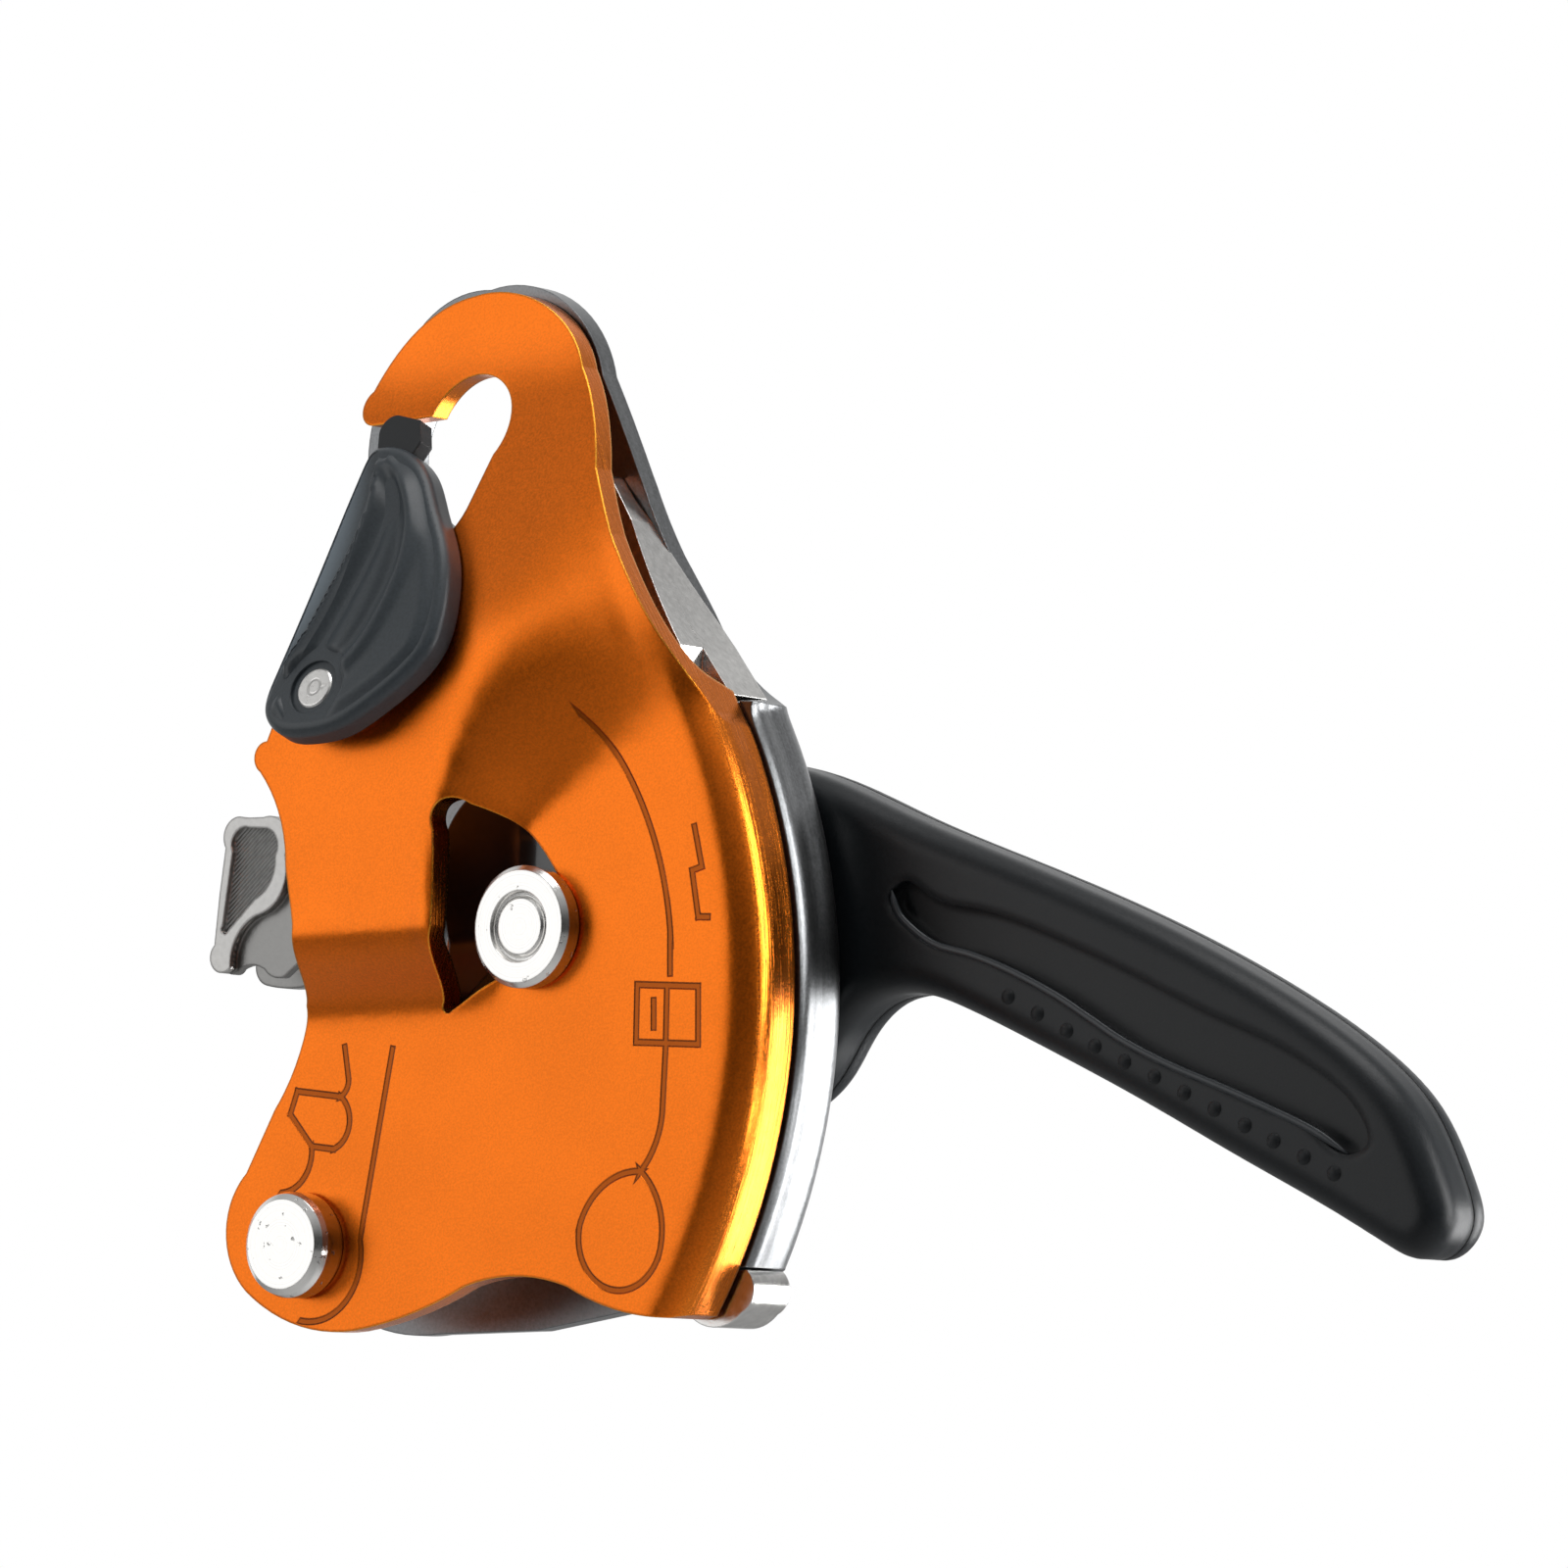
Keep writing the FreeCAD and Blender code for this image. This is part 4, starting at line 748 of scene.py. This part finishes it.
class DESCENDER_OT_gate(bpy.types.Operator):
    """Mould the gate with its leaf of ridges"""

    bl_idname = "descender.gate"
    bl_label = "Gate"

    def execute(self, context):
        look = context.scene.descender_look
        plastic = gate_moulding(look)
        dress(plastic, "gate_shell")
        dress(moulded("tongue_moulding", look.lever, rough=0.5, spark=0.014), "gate_tongue")
        piece("gate_relief", gate_relief, "gate", plastic)
        return {"FINISHED"}


class DESCENDER_OT_lever(bpy.types.Operator):
    """Mould the lever with its grip lip and studs"""

    bl_idname = "descender.lever"
    bl_label = "Lever"

    def execute(self, context):
        look = context.scene.descender_look
        plastic = moulded("lever_moulding", look.lever, rough=0.36, spark=0.012,
                          seam=LEVER_SEAM, edge=1.8, shine=0.3)
        # Painted highlight: the grip lip gets a lighter copy of the lever's plastic.
        lip_highlight = moulded("lip_highlight_moulding", shade(look.lever, 2.5), rough=0.3, spark=0.006)
        dress(plastic, "lever_front", "lever_back")
        piece("grip_lip", grip_lip, "lever", lip_highlight)
        piece("grip_dots", grip_dots, "lever", plastic)
        return {"FINISHED"}


# Lamps as name, place, width and height, all in metres, and power in watts.
LAMPS = [
    ("key_lamp", (-0.85, -1.05, 0.22), (1.1, 1.0), 4.4),
    ("rim_lamp", (1.25, 0.35, 0.1), (0.35, 1.3), 16.0),
    ("band_lamp", (0.66, 0.95, -0.3), (0.5, 0.9), 13.0),
    ("top_lamp", (0.3, -0.1, 1.3), (0.9, 0.7), 7.0)]
CAMERA_PLACE = (0.7048, -0.8330, -0.1555)
BACKDROP_WAY = (-0.63, 0.77, 0.0)
FLOOR_PLAIN_TO_WHITE = (500.0, 2200.0)


def softbox(name, spot, aim, size, power):
    """One rectangular lamp turned to a point."""
    lamp = bpy.data.lights.new(name, "AREA")
    lamp.shape = "RECTANGLE"
    lamp.size, lamp.size_y = size
    lamp.energy = power
    holder = bpy.data.objects.new(name, lamp)
    holder.location = spot
    holder.rotation_euler = (Vector(aim) - Vector(spot)).to_track_quat("-Z", "Y").to_euler()
    bpy.context.scene.collection.objects.link(holder)


class DESCENDER_OT_studio(bpy.types.Operator):
    """Set the pale floor, the lamps and the camera"""

    bl_idname = "descender.studio"
    bl_label = "Studio"

    def execute(self, context):
        studio = context.scene.descender_studio
        scene = context.scene
        low, high = (Vector(corner) for corner in CAD_BOX)
        centre = (low + high) / 2.0

        mesh = bpy.data.meshes.new("floor")
        half = studio.floor_size / 2.0
        corners = [(-half, -half), (half, -half), (half, half), (-half, half)]
        mesh.from_pydata([(x, y, -studio.floor_drop) for x, y in corners], [], [(0, 1, 2, 3)])
        floor = bpy.data.objects.new("floor", mesh)
        scene.collection.objects.link(floor)
        paper = Finish("floor_paper")
        seen = paper.node("ShaderNodeLightPath")["Is Camera Ray"]
        away = paper.place((1.0, 1.0, 0.0)).reach((0.0, 0.0, 0.0))
        far = away.ramp(*FLOOR_PLAIN_TO_WHITE)
        plain = paper.node("ShaderNodeBsdfDiffuse", None, {"Color": shade(WHITE, 0.55)})["BSDF"]
        white = paper.node("ShaderNodeEmission", None, {"Color": WHITE, "Strength": 1.0})
        both = paper.node("ShaderNodeMixShader", None, {
            0: seen * far, 1: plain, 2: white["Emission"]})
        paper.node("ShaderNodeOutputMaterial", None, {"Surface": both["Shader"]})
        dress(paper.data, "floor")

        world = bpy.data.worlds.new("studio_room")
        scene.world = world
        room = Finish("room", world)
        seen = room.node("ShaderNodeLightPath")["Is Camera Ray"]
        way = room.node("ShaderNodeTexCoord")["Generated"]
        backdrop = way.along(BACKDROP_WAY).ramp(0.1, 0.9, 0.05, 0.9)
        ceiling = way.along((0.0, 0.0, 1.0)).ramp(0.0, 0.9, 0.0, 0.5)
        glow = room.node("ShaderNodeBackground", None, {
            "Color": WHITE, "Strength": seen.most(backdrop.most(ceiling))})["Background"]
        room.node("ShaderNodeOutputWorld", None, {"Surface": glow})

        for name, spot, size, power in LAMPS:
            softbox(name, spot, centre, size, power)

        camera = bpy.data.cameras.new("camera")
        camera.lens = studio.focal_length
        holder = bpy.data.objects.new("camera", camera)
        holder.location = CAMERA_PLACE
        holder.rotation_euler = (centre - holder.location).to_track_quat("-Z", "Y").to_euler()
        scene.collection.objects.link(holder)
        scene.camera = holder
        scene.view_settings.view_transform = "Standard"
        return {"FINISHED"}


class DESCENDER_PT_panel(bpy.types.Panel):
    """Lists the descender's pieces"""

    bl_label = "Descender"
    bl_idname = "DESCENDER_PT_panel"
    bl_space_type = "VIEW_3D"
    bl_region_type = "UI"
    bl_category = "Descender"

    def draw(self, context):
        for operator in OPERATORS:
            self.layout.operator(operator.bl_idname)
        for group in (context.scene.descender_look, context.scene.descender_studio):
            for name in group.__annotations__:
                self.layout.prop(group, name)


OPERATORS = (DESCENDER_OT_plates, DESCENDER_OT_pins, DESCENDER_OT_rope_parts, DESCENDER_OT_gate,
             DESCENDER_OT_lever, DESCENDER_OT_studio)
CLASSES = (DescenderLook, DescenderStudio) + OPERATORS + (DESCENDER_PT_panel,)


def register():
    for item in CLASSES:
        bpy.utils.register_class(item)
    bpy.types.Scene.descender_look = PointerProperty(type=DescenderLook)
    bpy.types.Scene.descender_studio = PointerProperty(type=DescenderStudio)


def unregister():
    del bpy.types.Scene.descender_studio
    del bpy.types.Scene.descender_look
    for item in reversed(CLASSES):
        bpy.utils.unregister_class(item)


def main():
    register()
    bpy.ops.descender.plates()
    bpy.ops.descender.pins()
    bpy.ops.descender.rope_parts()
    bpy.ops.descender.gate()
    bpy.ops.descender.lever()
    bpy.ops.descender.studio()


if __name__ == "__main__":
    main()
